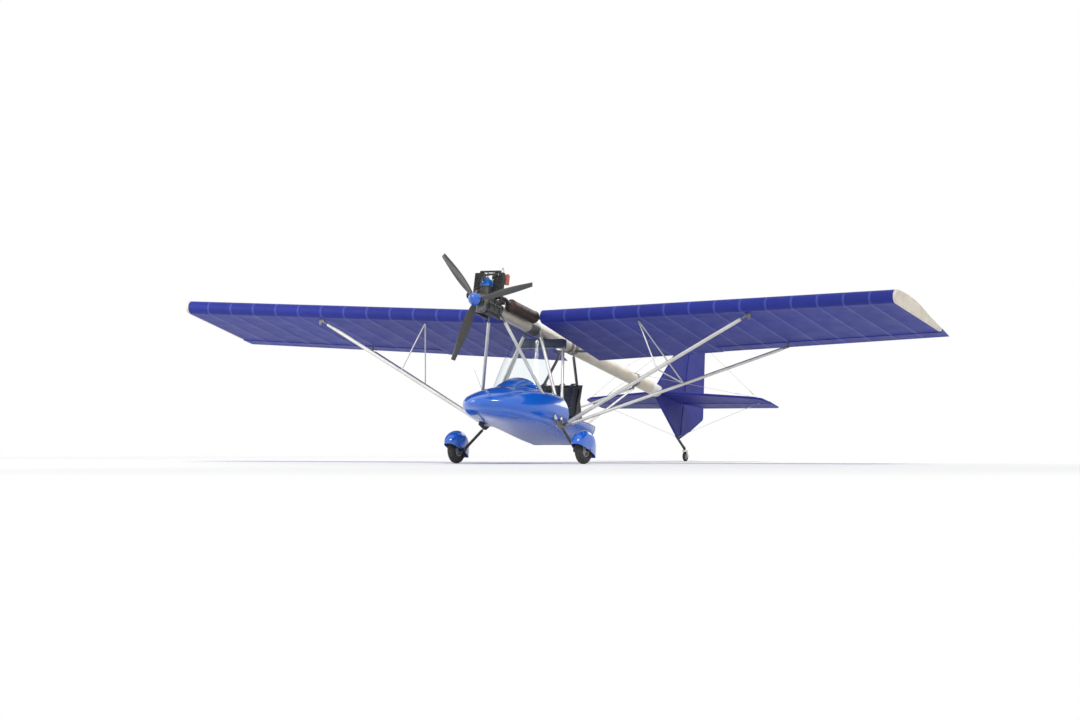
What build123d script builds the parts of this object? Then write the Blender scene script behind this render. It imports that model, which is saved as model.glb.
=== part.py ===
from build123d import *
from math import asin, atan2, cos, degrees, hypot, radians, sin, tan
import os

# Two-seat strut-braced microlight with one boom, a tractor engine and a tailwheel.
# Millimetres. It is drawn in the rigging frame: +X to the aircraft's left (port), +Y aft, +Z up,
# with the wing's leading edge at y = 0. At the end every piece is turned nose up onto its wheels.

os.makedirs("parts", exist_ok=True)

# Driving sizes: wing
half_span = 4800.0
root_station = 220.0
wing_chord = 1548.0
root_edge_z = 218.0
tip_edge_z = 394.0
root_incidence = 9.95
tip_incidence = 7.2
nose_radius = 80.0
nose_lift = 10.0
rear_camber = 70.0
rear_camber_at = 0.58
trailing_thickness = 5.0
cap_thickness = 34.0

# Driving sizes: ailerons
aileron_start = 1900.0
aileron_end = 4792.0
hinge_chord = 1345.0
aileron_nose = 22.0
surface_gap = 6.0

# Driving sizes: boom
boom_radius = 75.0
boom_wall = 2.5
boom_front = -690.0
boom_rear = 3450.0
boom_drop = 3.7
boom_axis_z = 127.0

# Driving sizes: tubes
lift_strut_radius = 22.0
rear_strut_radius = 19.0
jury_radius = 8.0
cabane_radius = 19.0
rear_pylon_radius = 17.0
brace_radius = 12.0
cross_tube_radius = 20.0
seat_gap = 0.3
lug_width = 24.0
lug_thickness = 9.0
lug_reach = 70.0

# Driving sizes: wheels
tyre_radius = 163.0
tyre_section = 48.0
rim_radius = 78.0
axle_radius = 10.0
running_clearance = 0.1
wheel_track = 860.0
wheel_y = 160.0
wheel_z = -1356.0
tail_tyre_radius = 62.0
tail_axle_radius = 5.0

# Driving sizes: body pod
pod_wall = 5.0
pod_hole_clearance = 1.5

# Driving sizes: propeller
blade_count = 3
spinner_radius = 78.0
hub_s = -1120.0

# Fixed points of the bracing, port side, as (x, y, z)
front_strut_top = (2861.0, 139.0, 204.0)
rear_strut_top = (2855.0, 1290.0, 50.0)
front_strut_foot = (531.0, 228.0, -1045.0)
rear_strut_foot = (531.0, 284.0, -1045.0)
front_tube_top = (88.0, -640.0, 82.0)
front_tube_foot = (528.0, 92.0, -1042.0)
middle_tube_top = (92.0, 250.0, 72.0)
middle_tube_foot = (531.0, 190.0, -1040.0)
door_post_top = (290.0, 492.0, -50.0)
door_post_foot = (498.0, 330.0, -668.0)
rear_tube_top = (80.0, 1112.0, -20.0)
rear_tube_foot = (402.0, 885.0, -940.0)
brace_top = (8.0, 2830.0, -165.0)
brace_foot = (392.0, 945.0, -960.0)
jury_top = (1445.0, 173.0, 178.0)
jury_front = 0.4835
jury_rear = 0.4692
leg_radius = 17.0

# Driving sizes: tail, in the boom's own frame
tail_thickness = 32.0
fin_rear_s = boom_rear + 700.0
fin_foot_n = -450.0
rudder_hinge_s = fin_rear_s + 22.0
rudder_nose = 16.0
rudder_chord = 580.0
tailplane_thickness = 30.0
tailplane_rear_s = boom_rear + 626.0
tailplane_half_span = 1250.0
tailplane_n = 0.0
elevator_hinge_s = tailplane_rear_s + 21.0
elevator_nose = 15.0
elevator_chord = 320.0

# Fin and rudder outlines, as (aft along the boom, up from its axis)
fin_outline = [
    (boom_rear + seat_gap, -92),
    (boom_rear + seat_gap, 92),
    (fin_rear_s - 32, 946),
    (fin_rear_s, 955),
    (fin_rear_s, fin_foot_n),
    (fin_rear_s - 42, fin_foot_n),
]
rudder_outline = [
    (fin_rear_s, fin_foot_n - 6),
    (fin_rear_s, 960),
    (fin_rear_s + 395, 953),
    (fin_rear_s + 426, 925),
    (fin_rear_s + 592, -55),
    (fin_rear_s + 578, -85),
    (fin_rear_s + 292, -284),
]
# Tailplane and elevator outlines, as (out to port, aft along the boom)
tailplane_outline = [
    (tail_thickness / 2 + seat_gap, tailplane_rear_s - 586),
    (tailplane_half_span - 100, tailplane_rear_s - 246),
    (tailplane_half_span - 10, tailplane_rear_s - 156),
    (tailplane_half_span, tailplane_rear_s),
    (tail_thickness / 2 + seat_gap, tailplane_rear_s),
]
elevator_outline = [
    (42, tailplane_rear_s),
    (tailplane_half_span, tailplane_rear_s),
    (tailplane_half_span, tailplane_rear_s + 284),
    (tailplane_half_span - 25, tailplane_rear_s + 309),
    (185, tailplane_rear_s + 332),
    (62, tailplane_rear_s + 104),
    (42, tailplane_rear_s + 74),
]

pieces = {}


def keep(shape, label):
    """File a finished piece under its name, in the rigging frame."""
    shape.label = label
    pieces[label] = shape


def together(shapes):
    """Several solids of one node."""
    whole = shapes[0]
    for shape in shapes[1:]:
        whole = whole + shape
    return whole


def both(shape):
    """A port shape and its starboard twin."""
    return [shape, mirror(shape, about=Plane.YZ)]


def along(a, b, share):
    """Point at a share of the way from a to b."""
    return tuple(p + (q - p) * share for p, q in zip(a, b))


def rod(a, b, radius):
    """Round bar or tube between two points."""
    axis = Vector(*b) - Vector(*a)
    with BuildPart() as bar:
        with BuildSketch(Plane(origin=a, z_dir=axis)):
            Circle(radius)
        extrude(amount=axis.length)
    return bar.part


def lug(start, toward, reach, width=lug_width, thickness=lug_thickness, flat=(1, 0, 0)):
    """Flat bar that leaves a point towards another, its width across the direction given."""
    axis = (Vector(*toward) - Vector(*start)).normalized()
    side = Vector(*flat) - axis * Vector(*flat).dot(axis)
    with BuildPart() as bar:
        with BuildSketch(Plane(origin=start, x_dir=side, z_dir=axis)):
            Rectangle(thickness, width)
        extrude(amount=reach)
    return bar.part


def strut(a, b, radius, a_reach=lug_reach, b_reach=lug_reach):
    """Tube that runs from the end of the lug at a to the end of the lug at b."""
    length = (Vector(*b) - Vector(*a)).length
    return rod(along(a, b, a_reach / length), along(b, a, b_reach / length), radius)


# Frame of the boom: x to port, y aft along its axis, z square to it
drop = radians(boom_drop)
boom_frame = Plane(origin=(0, 0, boom_axis_z), x_dir=(1, 0, 0), z_dir=(0, sin(drop), cos(drop)))


def on_boom(shape):
    """Place a shape drawn in the boom's frame."""
    return shape.moved(boom_frame.location)


def boom_point(x, s, n):
    """Rigging coordinates of a point given in the boom's frame."""
    spot = boom_frame.from_local_coords(Vector(x, s, n))
    return (spot.X, spot.Y, spot.Z)


def boom_place(point):
    """Boom coordinates of a point given in the rigging frame."""
    spot = boom_frame.to_local_coords(Vector(*point))
    return (spot.X, spot.Y, spot.Z)


# Wing
def wing_share(x):
    return (x - root_station) / (half_span - root_station)


def wing_plane(x):
    """Plane of the wing's section at a span station: x aft along the chord, y up."""
    share = wing_share(x)
    edge_z = root_edge_z + (tip_edge_z - root_edge_z) * share
    angle = radians(root_incidence + (tip_incidence - root_incidence) * share)
    return Plane(origin=(x, 0, edge_z), x_dir=(0, cos(angle), -sin(angle)), z_dir=(1, 0, 0))


upper_angle = 99.0
lower_angle = 273.0


def nose_point(angle):
    turn = radians(angle)
    return (nose_radius * (1 + cos(turn)), nose_lift + nose_radius * sin(turn))


def wing_section(x):
    """Blunt nose arc, one long crown arc, a straight tail and a flat underside."""
    with BuildSketch(wing_plane(x)) as section:
        with BuildLine():
            nose = ThreePointArc(nose_point(lower_angle), nose_point(180), nose_point(upper_angle))
            crown_end = (rear_camber_at * wing_chord, rear_camber)
            crown = TangentArc([nose @ 1, crown_end], tangent=nose % 1)
            upper_tail = Line(crown @ 1, (wing_chord, trailing_thickness / 2))
            tail = Line(upper_tail @ 1, (wing_chord, -trailing_thickness / 2))
            Line(tail @ 1, nose @ 0)
        make_face()
    return section.sketch


def tail_top(u):
    """Height of the straight upper tail above the chord line."""
    start = rear_camber_at * wing_chord
    share = (u - start) / (wing_chord - start)
    return rear_camber + (trailing_thickness / 2 - rear_camber) * share


def tail_bottom(u):
    """Depth of the flat underside below the chord line."""
    start = nose_point(lower_angle)
    share = (u - start[0]) / (wing_chord - start[0])
    return start[1] + (-trailing_thickness / 2 - start[1]) * share


hinge_v = (tail_top(hinge_chord) + tail_bottom(hinge_chord)) / 2


def wing_point(x, u, v):
    """Rigging coordinates of a point on a wing section."""
    spot = wing_plane(x).from_local_coords(Vector(u, v, 0))
    return (spot.X, spot.Y, spot.Z)


hinge_in = wing_point(aileron_start, hinge_chord, hinge_v)
hinge_out = wing_point(aileron_end, hinge_chord, hinge_v)
aileron_axis = (Vector(*hinge_out) - Vector(*hinge_in)).normalized()


def aileron_plane():
    """Plane square to the aileron's hinge line at its inner end, x aft along the chord."""
    chordwise = wing_plane(aileron_start).x_dir
    flat = chordwise - aileron_axis * chordwise.dot(aileron_axis)
    return Plane(origin=hinge_in, x_dir=flat, z_dir=aileron_axis)


# A hinge is a flat lug with a cross pin on the fixed side, in a slot and bores on the moving side
pin_radius = 4.0
pin_length = 44.0
hinge_lug_width = 16.0
hinge_lug_thickness = 6.0
hinge_slot_radius = 31.0
hinge_side_clearance = 0.8


def hinge_lug(plane, reach):
    """Lug from a fixed surface: plane's z is the hinge axis, its -x points at the fixed surface."""
    with BuildPart() as fixed:
        with BuildSketch(plane.offset(-hinge_lug_thickness / 2)):
            Circle(hinge_lug_width / 2)
            with Locations((-reach / 2, 0)):
                Rectangle(reach, hinge_lug_width)
        extrude(amount=hinge_lug_thickness)
        with BuildSketch(plane.offset(-pin_length / 2)):
            Circle(pin_radius)
        extrude(amount=pin_length)
    return fixed.part


def hinge_slot(plane):
    """What the moving surface loses round a hinge lug and its pin."""
    slot_height = hinge_lug_thickness + 2 * hinge_side_clearance
    with BuildPart() as lost:
        with BuildSketch(plane.offset(-slot_height / 2)):
            Circle(hinge_slot_radius)
        extrude(amount=slot_height)
        with BuildSketch(plane.offset(-pin_length / 2 - 1)):
            Circle(pin_radius + running_clearance)
        extrude(amount=pin_length + 2)
    return lost.part


# Port wing, its bay for the aileron, and its tip cap
wing_body = loft([wing_section(root_station), wing_section(half_span - cap_thickness)], ruled=True)
bay_plane = aileron_plane()
bay_depth = 260.0
with BuildPart() as bay:
    with BuildSketch(bay_plane.offset(-surface_gap)):
        with Locations((bay_depth / 2 - aileron_nose - surface_gap, 0)):
            Rectangle(bay_depth, 160)
    extrude(amount=half_span)
aileron_length = (Vector(*hinge_out) - Vector(*hinge_in)).length
hinge_stations = [110.0, aileron_length / 2, aileron_length - 110.0]
hinge_planes = [bay_plane.offset(station) for station in hinge_stations]
aileron_reach = aileron_nose + surface_gap
wing_port = wing_body - bay.part
for plane in hinge_planes:
    wing_port += hinge_lug(plane, aileron_reach)
keep(wing_port, "wing_port")

with BuildPart() as cap:
    add(loft([wing_section(half_span - cap_thickness), wing_section(half_span)], ruled=True))
    add(bay.part, mode=Mode.SUBTRACT)
cap_edges = cap.part.faces().sort_by(Axis.X)[-1].edges()
keep(together(both(fillet(cap_edges, 9))), "wing_caps")

# Port aileron: a round nose on the hinge line and straight sides to the trailing edge
aileron_chord = wing_chord - hinge_chord
with BuildPart() as aileron:
    with BuildSketch(bay_plane):
        with BuildLine():
            top = (aileron_nose * sin(radians(6)), aileron_nose * cos(radians(6)))
            bottom = (top[0], -top[1])
            nose = ThreePointArc(bottom, (-aileron_nose, 0), top)
            tail_edge = Line((aileron_chord, 2.5), (aileron_chord, -2.5))
            Line(nose @ 1, tail_edge @ 0)
            Line(tail_edge @ 1, nose @ 0)
        make_face()
    extrude(amount=aileron_length)
    for plane in hinge_planes:
        add(hinge_slot(plane), mode=Mode.SUBTRACT)
keep(aileron.part, "aileron_port")

# Boom and what clamps round it
with BuildPart() as boom:
    with BuildSketch(Plane.XZ.offset(-boom_front)):
        Circle(boom_radius)
        Circle(boom_radius - boom_wall, mode=Mode.SUBTRACT)
    extrude(amount=-(boom_rear - boom_front))
keep(on_boom(boom.part), "tail_boom")

clamp_wall = 8.0


def clamp(s, width):
    """Ring clamped round the boom, in the boom's frame."""
    with BuildPart() as ring:
        with BuildSketch(Plane.XZ.offset(-s + width / 2)):
            Circle(boom_radius + clamp_wall)
            Circle(boom_radius + seat_gap, mode=Mode.SUBTRACT)
        extrude(amount=-width)
    return ring.part


def boom_core(s, width):
    """What the boom fills inside a clamp."""
    with BuildPart() as core:
        with BuildSketch(Plane.XZ.offset(-s + width)):
            Circle(boom_radius + seat_gap)
        extrude(amount=-2 * width)
    return core.part


def clamp_with(s, width, extras):
    """A clamp with lugs or tubes fused to it, in the rigging frame."""
    ring = on_boom(clamp(s, width))
    for extra in extras:
        ring = ring + extra
    return ring - on_boom(boom_core(s, width))


spar_tube_radius = 25.0
front_spar_u = 150.0
rear_spar_u = 1240.0
front_spar_y = wing_point(root_station, front_spar_u, 0)[1]
front_spar_z = boom_point(0, front_spar_y, boom_radius + spar_tube_radius + 4)[2]
front_spar = (root_station, front_spar_y, front_spar_z)
rear_spar = wing_point(root_station, rear_spar_u, hinge_v)
front_spar_tube = rod((-root_station, front_spar[1], front_spar[2]), front_spar, spar_tube_radius)
rear_spar_tube = rod((-root_station, rear_spar[1], rear_spar[2]), rear_spar, 16.0)
front_s = boom_place((0, front_spar[1], front_spar[2]))[1]
middle_s = boom_place(middle_tube_top)[1]
saddle_middle = (front_s + middle_s) / 2
saddle_width = middle_s - front_s + 70
middle_root = (60.0, middle_tube_top[1], middle_tube_top[2] + 12)
middle_lug = lug(middle_tube_top, middle_root, 40) + lug(middle_tube_top, middle_tube_foot, lug_reach)
front_saddle = clamp_with(
    saddle_middle,
    saddle_width,
    [front_spar_tube] + both(middle_lug),
)
rear_saddle = clamp_with(boom_place((0, rear_spar[1], rear_spar[2]))[1], 60, [rear_spar_tube])

front_clamp_s = boom_place(front_tube_top)[1]
front_root = (52.0, front_tube_top[1], front_tube_top[2] + 40)
front_clamp = clamp_with(
    front_clamp_s,
    40,
    both(lug(front_tube_top, front_root, 45) + lug(front_tube_top, front_tube_foot, lug_reach)),
)

pylon_clamp_s = boom_place(rear_tube_top)[1]
pylon_root = (50.0, rear_tube_top[1], rear_tube_top[2] + 30)
pylon_clamp = clamp_with(
    pylon_clamp_s,
    40,
    both(lug(rear_tube_top, pylon_root, 40) + lug(rear_tube_top, rear_tube_foot, lug_reach)),
)

brace_clamp_s = boom_place(brace_top)[1]
brace_root = (8.0, brace_top[1], brace_top[2] + 30)
brace_clamp = clamp_with(
    brace_clamp_s,
    40,
    both(lug(brace_top, brace_root, 45) + lug(brace_top, brace_foot, lug_reach)),
)
keep(together([front_saddle, rear_saddle, front_clamp, pylon_clamp, brace_clamp]), "boom_clamps")

# Wing struts, cabane tubes and braces
front_strut = strut(front_strut_top, front_strut_foot, lift_strut_radius)
rear_strut = strut(rear_strut_top, rear_strut_foot, rear_strut_radius)
keep(front_strut + rear_strut, "lift_struts_port")
front_tube = strut(front_tube_top, front_tube_foot, cabane_radius, b_reach=45)
middle_tube = strut(middle_tube_top, middle_tube_foot, cabane_radius, b_reach=45)
keep(together(both(front_tube) + both(middle_tube)), "cabane_tubes")
rear_tube = strut(rear_tube_top, rear_tube_foot, rear_pylon_radius, b_reach=50)
keep(together(both(rear_tube)), "rear_pylon_tubes")
keep(together(both(strut(brace_top, brace_foot, brace_radius, b_reach=50))), "tail_braces")

# Brackets under the wing for the struts and the jury struts
bracket_start = 60.0


def under_wing(top, toward):
    """Lug that leaves the wing's underside and takes a strut's end."""
    above = (top[0], top[1], top[2] + bracket_start)
    bar = lug(above, top, bracket_start) + lug(top, toward, lug_reach)
    bar = bar + rod((top[0], top[1] - 12, top[2]), (top[0], top[1] + 12, top[2]), 12)
    return bar - wing_body


# A tie-down eye hangs from each front bracket
eye_out = 46.0
eye_drop = 46.0
eye_radius = 7.0
eye_thickness = 10.0
eye_centre = (
    front_strut_top[0] + eye_out,
    front_strut_top[1] + eye_thickness / 2,
    front_strut_top[2] + 24 - eye_drop,
)
eye_plane = Plane(origin=eye_centre, x_dir=(1, 0, 0), z_dir=(0, -1, 0))
with BuildPart() as eye:
    with BuildSketch(eye_plane):
        Circle(17)
        with Locations((0, 30)):
            Rectangle(34, 60)
        with Locations((-eye_out / 2, 36)):
            Rectangle(eye_out, 26)
        Circle(eye_radius, mode=Mode.SUBTRACT)
    extrude(amount=eye_thickness)
front_bracket = under_wing(front_strut_top, front_strut_foot) + (eye.part - wing_body)
rear_bracket = under_wing(rear_strut_top, rear_strut_foot)
keep(together(both(front_bracket) + both(rear_bracket)), "strut_brackets")

# Jury struts from the front spar to both lift struts, with a tube across
jury_low_front = along(front_strut_top, front_strut_foot, jury_front)
jury_low_rear = along(rear_strut_top, rear_strut_foot, jury_rear)
jury = rod(jury_top, jury_low_front, jury_radius) + rod(jury_top, jury_low_rear, jury_radius)
jury = jury + rod(jury_low_front, jury_low_rear, jury_radius)
jury = jury + rod(jury_top, (jury_top[0], jury_top[1], jury_top[2] + 40), 2 * jury_radius) - wing_body
jury = jury - rod(front_strut_top, front_strut_foot, lift_strut_radius + seat_gap)
jury = jury - rod(rear_strut_top, rear_strut_foot, rear_strut_radius + seat_gap)
keep(together(both(jury)), "jury_struts")

# Beam under the boom that takes the door posts
beam_y = 485.0
beam_length = 620.0
beam_depth = 105.0
beam_width = 90.0
beam_top = boom_point(0, beam_y, -boom_radius)[2] - seat_gap
with BuildPart() as roof_beam:
    with BuildSketch(Plane.XY.offset(beam_top - beam_depth)):
        with Locations((0, beam_y)):
            Rectangle(beam_length, beam_width)
    extrude(amount=beam_depth)
    fillet(roof_beam.edges().filter_by(Axis.X), 14)
roof_shape = roof_beam.part - on_boom(boom_core(beam_y, 200))
post_radius = cabane_radius - 2
post_end = along(door_post_foot, door_post_top, 1.1)
for post_space in both(rod(post_end, door_post_foot, post_radius + seat_gap)):
    roof_shape = roof_shape - post_space
keep(roof_shape, "roof_beam")


# Body pod: sections as (y, half width, widest z, top z, bottom z, crown slope, keel slope)
pod_sections = [
    (-862, 60, -948, -914, -980, 40, 40),
    (-790, 215, -945, -857, -1027, 32, 24),
    (-620, 363, -940, -777, -1062, 26, 16),
    (60, 516, -925, -612, -1094, 15, 7),
    (400, 516, -925, -610, -1118, 13, 6),
    (1220, 400, -960, -700, -1138, 13, 6),
]


def bow(half_width, rise, slope):
    """Shoulder radius and end of a shoulder arc that runs tangent into a shallow crown."""
    t = tan(radians(slope) / 2)
    c = cos(radians(slope))
    s = sin(radians(slope))
    shoulder = (rise - half_width * t) / (c - (1 - s) * t)
    end = (half_width - shoulder * (1 - s), shoulder * c)
    middle_turn = radians((90 - slope) / 2)
    middle = (half_width - shoulder * (1 - cos(middle_turn)), shoulder * sin(middle_turn))
    return end, middle


def pod_section(y, half_width, widest, top, bottom, crown, keel, inset):
    """Closed section of six tangent arcs, drawn on the plane at y."""
    w = half_width - inset
    (ux, uz), (umx, umz) = bow(w, top - widest - inset, crown)
    (lx, lz), (lmx, lmz) = bow(w, widest - bottom - inset, keel)
    # the plane's x runs to port and its y runs up
    with BuildSketch(Plane(origin=(0, y, widest), x_dir=(1, 0, 0), z_dir=(0, -1, 0))) as section:
        with BuildLine():
            ThreePointArc((w, 0), (umx, umz), (ux, uz))
            ThreePointArc((ux, uz), (0, top - widest - inset), (-ux, uz))
            ThreePointArc((-ux, uz), (-umx, umz), (-w, 0))
            ThreePointArc((-w, 0), (-lmx, -lmz), (-lx, -lz))
            ThreePointArc((-lx, -lz), (0, bottom - widest + inset), (lx, -lz))
            ThreePointArc((lx, -lz), (lmx, -lmz), (w, 0))
        make_face()
    return section.sketch


def pod_body(inset, front_shift):
    sections = []
    for place, (y, half_width, widest, top, bottom, crown, keel) in enumerate(pod_sections):
        shift = front_shift if place == 0 else 0
        sections.append(pod_section(y + shift, half_width, widest, top, bottom, crown, keel, inset))
    return loft(sections)


pod_outer = pod_body(0, 0)
pod_inner = pod_body(pod_wall, 9)

side_top = -925.0
entry_front = 352.0
deck_width = 395.0
opening_front = -70.0
transom_top = (1150.0, side_top)
transom_bottom = (1000.0, -1150.0)

# What stays of the body in side view: nose and deck, the low sides behind the entry, a raked transom
with BuildPart() as side_view:
    with BuildSketch(Plane.YZ.offset(-700)):
        with BuildLine():
            Polyline(
                (-900, -1200),
                (-900, -500),
                (entry_front - 12, -500),
                (entry_front + 16, side_top - 60),
                (entry_front + 90, side_top),
                transom_top,
                (transom_bottom[0] - 10, -1200),
                close=True,
            )
        make_face()
    extrude(amount=1400)
with BuildPart() as inner_view:
    with BuildSketch(Plane.YZ.offset(-700)):
        with BuildLine():
            Polyline(
                (-900, -1200),
                (-900, -500),
                (1400, -500),
                (transom_top[0] - pod_wall * 1.2, side_top + 300),
                (transom_top[0] - pod_wall * 1.2, side_top),
                (transom_bottom[0] - 10 - pod_wall * 1.2, -1200),
                close=True,
            )
        make_face()
    extrude(amount=1400)
with BuildPart() as cockpit_cut:
    with BuildSketch(Plane.XY.offset(-800)):
        with Locations((0, (opening_front + entry_front + 200) / 2)):
            RectangleRounded(2 * deck_width, entry_front + 200 - opening_front, 90)
    extrude(amount=400)

pod_cavity = pod_inner & inner_view.part
pod_shell = (pod_outer & side_view.part) - pod_cavity - cockpit_cut.part
tube_holes = []
for a, b, radius in (
    (front_tube_top, front_tube_foot, cabane_radius),
    (middle_tube_top, middle_tube_foot, cabane_radius),
    (door_post_top, door_post_foot, post_radius),
):
    tube_holes += both(rod(along(b, a, -0.08), a, radius + pod_hole_clearance))
cross_y = 205.0
cross_z = -1050.0
tube_holes.append(rod((-600, cross_y, cross_z), (600, cross_y, cross_z), cross_tube_radius + seat_gap))
for hole in tube_holes:
    pod_shell = pod_shell - hole
pod_shell = pod_shell.solids().sort_by(SortBy.VOLUME)[-1]
keep(pod_shell, "pod_shell")

# Cross tube through the pod, and the side plate on each end that takes struts, tubes and gear leg
plate_inner = 522.0
plate_thickness = 8.0
cross_tube = rod((-plate_inner, cross_y, cross_z), (plate_inner, cross_y, cross_z), cross_tube_radius)
keep(cross_tube, "cross_tube")
with BuildPart() as plate:
    with BuildSketch(Plane.YZ.offset(plate_inner)):
        with BuildLine():
            Polyline(
                (60, -1070),
                (70, -1020),
                (300, -1022),
                (312, -1060),
                (240, -1108),
                (180, -1108),
                close=True,
            )
        make_face()
    extrude(amount=plate_thickness)
side_plate = plate.part
side_plate = side_plate + lug(front_tube_foot, front_tube_top, 45)
side_plate = side_plate + lug(middle_tube_foot, middle_tube_top, 45)
side_plate = side_plate + lug(front_strut_foot, front_strut_top, lug_reach, flat=(0, 1, 0))
side_plate = side_plate + lug(rear_strut_foot, rear_strut_top, lug_reach, flat=(0, 1, 0))
leg_foot = (wheel_track - 106.0, wheel_y, wheel_z)
leg_head = (526.0, 207.0, -1085.0)
side_plate = side_plate + lug(leg_head, leg_foot, 40, width=30, flat=(0, 0, 1))
keep(together(both(side_plate - pod_outer)), "strut_plates")


# Door posts: from the pod's rear deck corners up to the roof beam
post = rod(door_post_foot, along(door_post_foot, door_post_top, 0.995), post_radius)
post = post + rod(door_post_foot, along(door_post_foot, door_post_top, 0.012), post_radius + 12)
keep(together(both(post - pod_outer)), "door_posts")

# Main gear: sprung leg with its axle, wheel, tyre and spat
block_outer = wheel_track - 90.0
hub_half = 38.0
axle_end = wheel_track + 92.0
leg_length = (Vector(*leg_foot) - Vector(*leg_head)).length
leg = rod(along(leg_head, leg_foot, 40 / leg_length), leg_foot, leg_radius)
leg = leg + rod((block_outer - 36, wheel_y, wheel_z), (block_outer, wheel_y, wheel_z), 26)
leg = leg + rod((block_outer - 36, wheel_y, wheel_z), (axle_end, wheel_y, wheel_z), axle_radius)
spacer_end = wheel_track - hub_half - seat_gap
spacer_radius = 16.0
leg = leg + rod((block_outer, wheel_y, wheel_z), (spacer_end, wheel_y, wheel_z), spacer_radius)
nut_start = wheel_track + hub_half + seat_gap
leg = leg + rod((nut_start, wheel_y, wheel_z), (nut_start + 12, wheel_y, wheel_z), spacer_radius)
keep(leg, "gear_leg_port")

wheel_plane = Plane(origin=(wheel_track, wheel_y, wheel_z), x_dir=(0, 1, 0), z_dir=(1, 0, 0))
bead_half = 34.0
with BuildPart() as rim:
    with BuildSketch(Plane.XZ):
        with BuildLine():
            Polyline(
                (axle_radius + running_clearance, -hub_half),
                (24, -hub_half),
                (30, -12),
                (66, -6),
                (70, -bead_half - 3),
                (rim_radius, -bead_half - 3),
                (rim_radius, bead_half + 3),
                (70, bead_half + 3),
                (66, 6),
                (30, 12),
                (24, hub_half),
                (axle_radius + running_clearance, hub_half),
                close=True,
            )
        make_face()
    revolve(axis=Axis.Z)
keep(rim.part.moved(wheel_plane.location), "wheel_rim_port")
with BuildPart() as tyre:
    with BuildSketch(Plane.XZ):
        with BuildLine():
            ThreePointArc((rim_radius, -bead_half), (112, -tyre_section), (148, -37))
            ThreePointArc((148, -37), (tyre_radius, 0), (148, 37))
            ThreePointArc((148, 37), (112, tyre_section), (rim_radius, bead_half))
            Line((rim_radius, bead_half), (rim_radius, -bead_half))
        make_face()
    revolve(axis=Axis.Z)
keep(tyre.part.moved(wheel_plane.location), "tyre_port")

# Spat sections as (y from the axle, half width, top above the axle, crown slope)
spat_sections = [
    (-226, 30, 84, 40),
    (-196, 60, 132, 34),
    (-120, 80, 196, 26),
    (-10, 86, 230, 22),
    (100, 80, 204, 24),
    (180, 62, 136, 30),
    (240, 34, 52, 38),
]
spat_floor = -130.0
spat_wall = 4.0


def spat_section(y, half_width, top, crown, inset):
    """Arch with straight sides that reach below the spat's lower edge."""
    w = half_width - inset
    knee = top - 0.9 * half_width
    (ux, uz), (umx, umz) = bow(w, top - knee - inset, crown)
    knee_plane = Plane(origin=(wheel_track, wheel_y + y, wheel_z + knee), x_dir=(1, 0, 0), z_dir=(0, -1, 0))
    with BuildSketch(knee_plane) as arch:
        with BuildLine():
            ThreePointArc((w, 0), (umx, umz), (ux, uz))
            ThreePointArc((ux, uz), (0, top - knee - inset), (-ux, uz))
            ThreePointArc((-ux, uz), (-umx, umz), (-w, 0))
            Line((-w, 0), (-w, spat_floor - knee))
            Line((-w, spat_floor - knee), (w, spat_floor - knee))
            Line((w, spat_floor - knee), (w, 0))
        make_face()
    return arch.sketch


def spat_body(inset, end_shift):
    last = len(spat_sections) - 1
    sections = []
    for place, (y, half_width, top, crown) in enumerate(spat_sections):
        shift = end_shift if place == 0 else -end_shift if place == last else 0
        sections.append(spat_section(y + shift, half_width, top, crown, inset))
    return loft(sections)


spat_edge_plane = Plane(origin=(wheel_track - 150, wheel_y, wheel_z), x_dir=(0, 1, 0), z_dir=(1, 0, 0))
with BuildPart() as spat_below:
    with BuildSketch(spat_edge_plane):
        with BuildLine():
            Polyline((-300, 56), (300, -70), (300, -300), (-300, -300), close=True)
        make_face()
    extrude(amount=300)
spat = spat_body(0, 0) - spat_body(spat_wall, 6) - spat_below.part
wheel_centre = (wheel_track, wheel_y, wheel_z)
spat_reach = 120.0
spat = spat - rod((wheel_track - spat_reach, wheel_y, wheel_z), wheel_centre, spacer_radius + seat_gap)
spat = spat - rod(wheel_centre, (wheel_track + spat_reach, wheel_y, wheel_z), axle_radius + seat_gap)
keep(spat, "spat_port")

# Everything on the port side so far has a starboard twin
for label in [name for name in pieces if name.endswith("_port")]:
    keep(mirror(pieces[label], about=Plane.YZ), label.replace("_port", "_starboard"))

# Engine, drawn in the boom's frame
crank_front = -1000.0
crank_rear = -716.0
crank_floor = -100.0
crank_deck = 84.0


def block(low, high, round_axis=None, radius=0):
    """Box between two corners, its edges along one axis rounded."""
    size = [q - p for p, q in zip(low, high)]
    centre = [(p + q) / 2 for p, q in zip(low, high)]
    with BuildPart() as solid:
        with BuildSketch(Plane.XY.offset(low[2])):
            with Locations((centre[0], centre[1])):
                Rectangle(size[0], size[1])
        extrude(amount=size[2])
        if radius:
            fillet(solid.edges().filter_by(round_axis), radius)
    return solid.part


mount = rod((0, crank_rear, 0), (0, boom_front - seat_gap, 0), 92)
mount = mount + rod((0, boom_front - 2, 0), (0, boom_front + 60, 0), boom_radius - boom_wall - seat_gap)
rail_floor = -128.0
for rail_x in (-78, 78):
    rail_end = (rail_x + 16, boom_front - 4, crank_floor - seat_gap)
    mount = mount + block((rail_x - 16, crank_front + 12, rail_floor), rail_end, Axis.Y, 5)
    mount = mount + block((rail_x - 14, crank_rear, rail_floor), (rail_x + 14, boom_front - 4, -30), Axis.Y, 5)
keep(on_boom(mount), "engine_mount")
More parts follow.
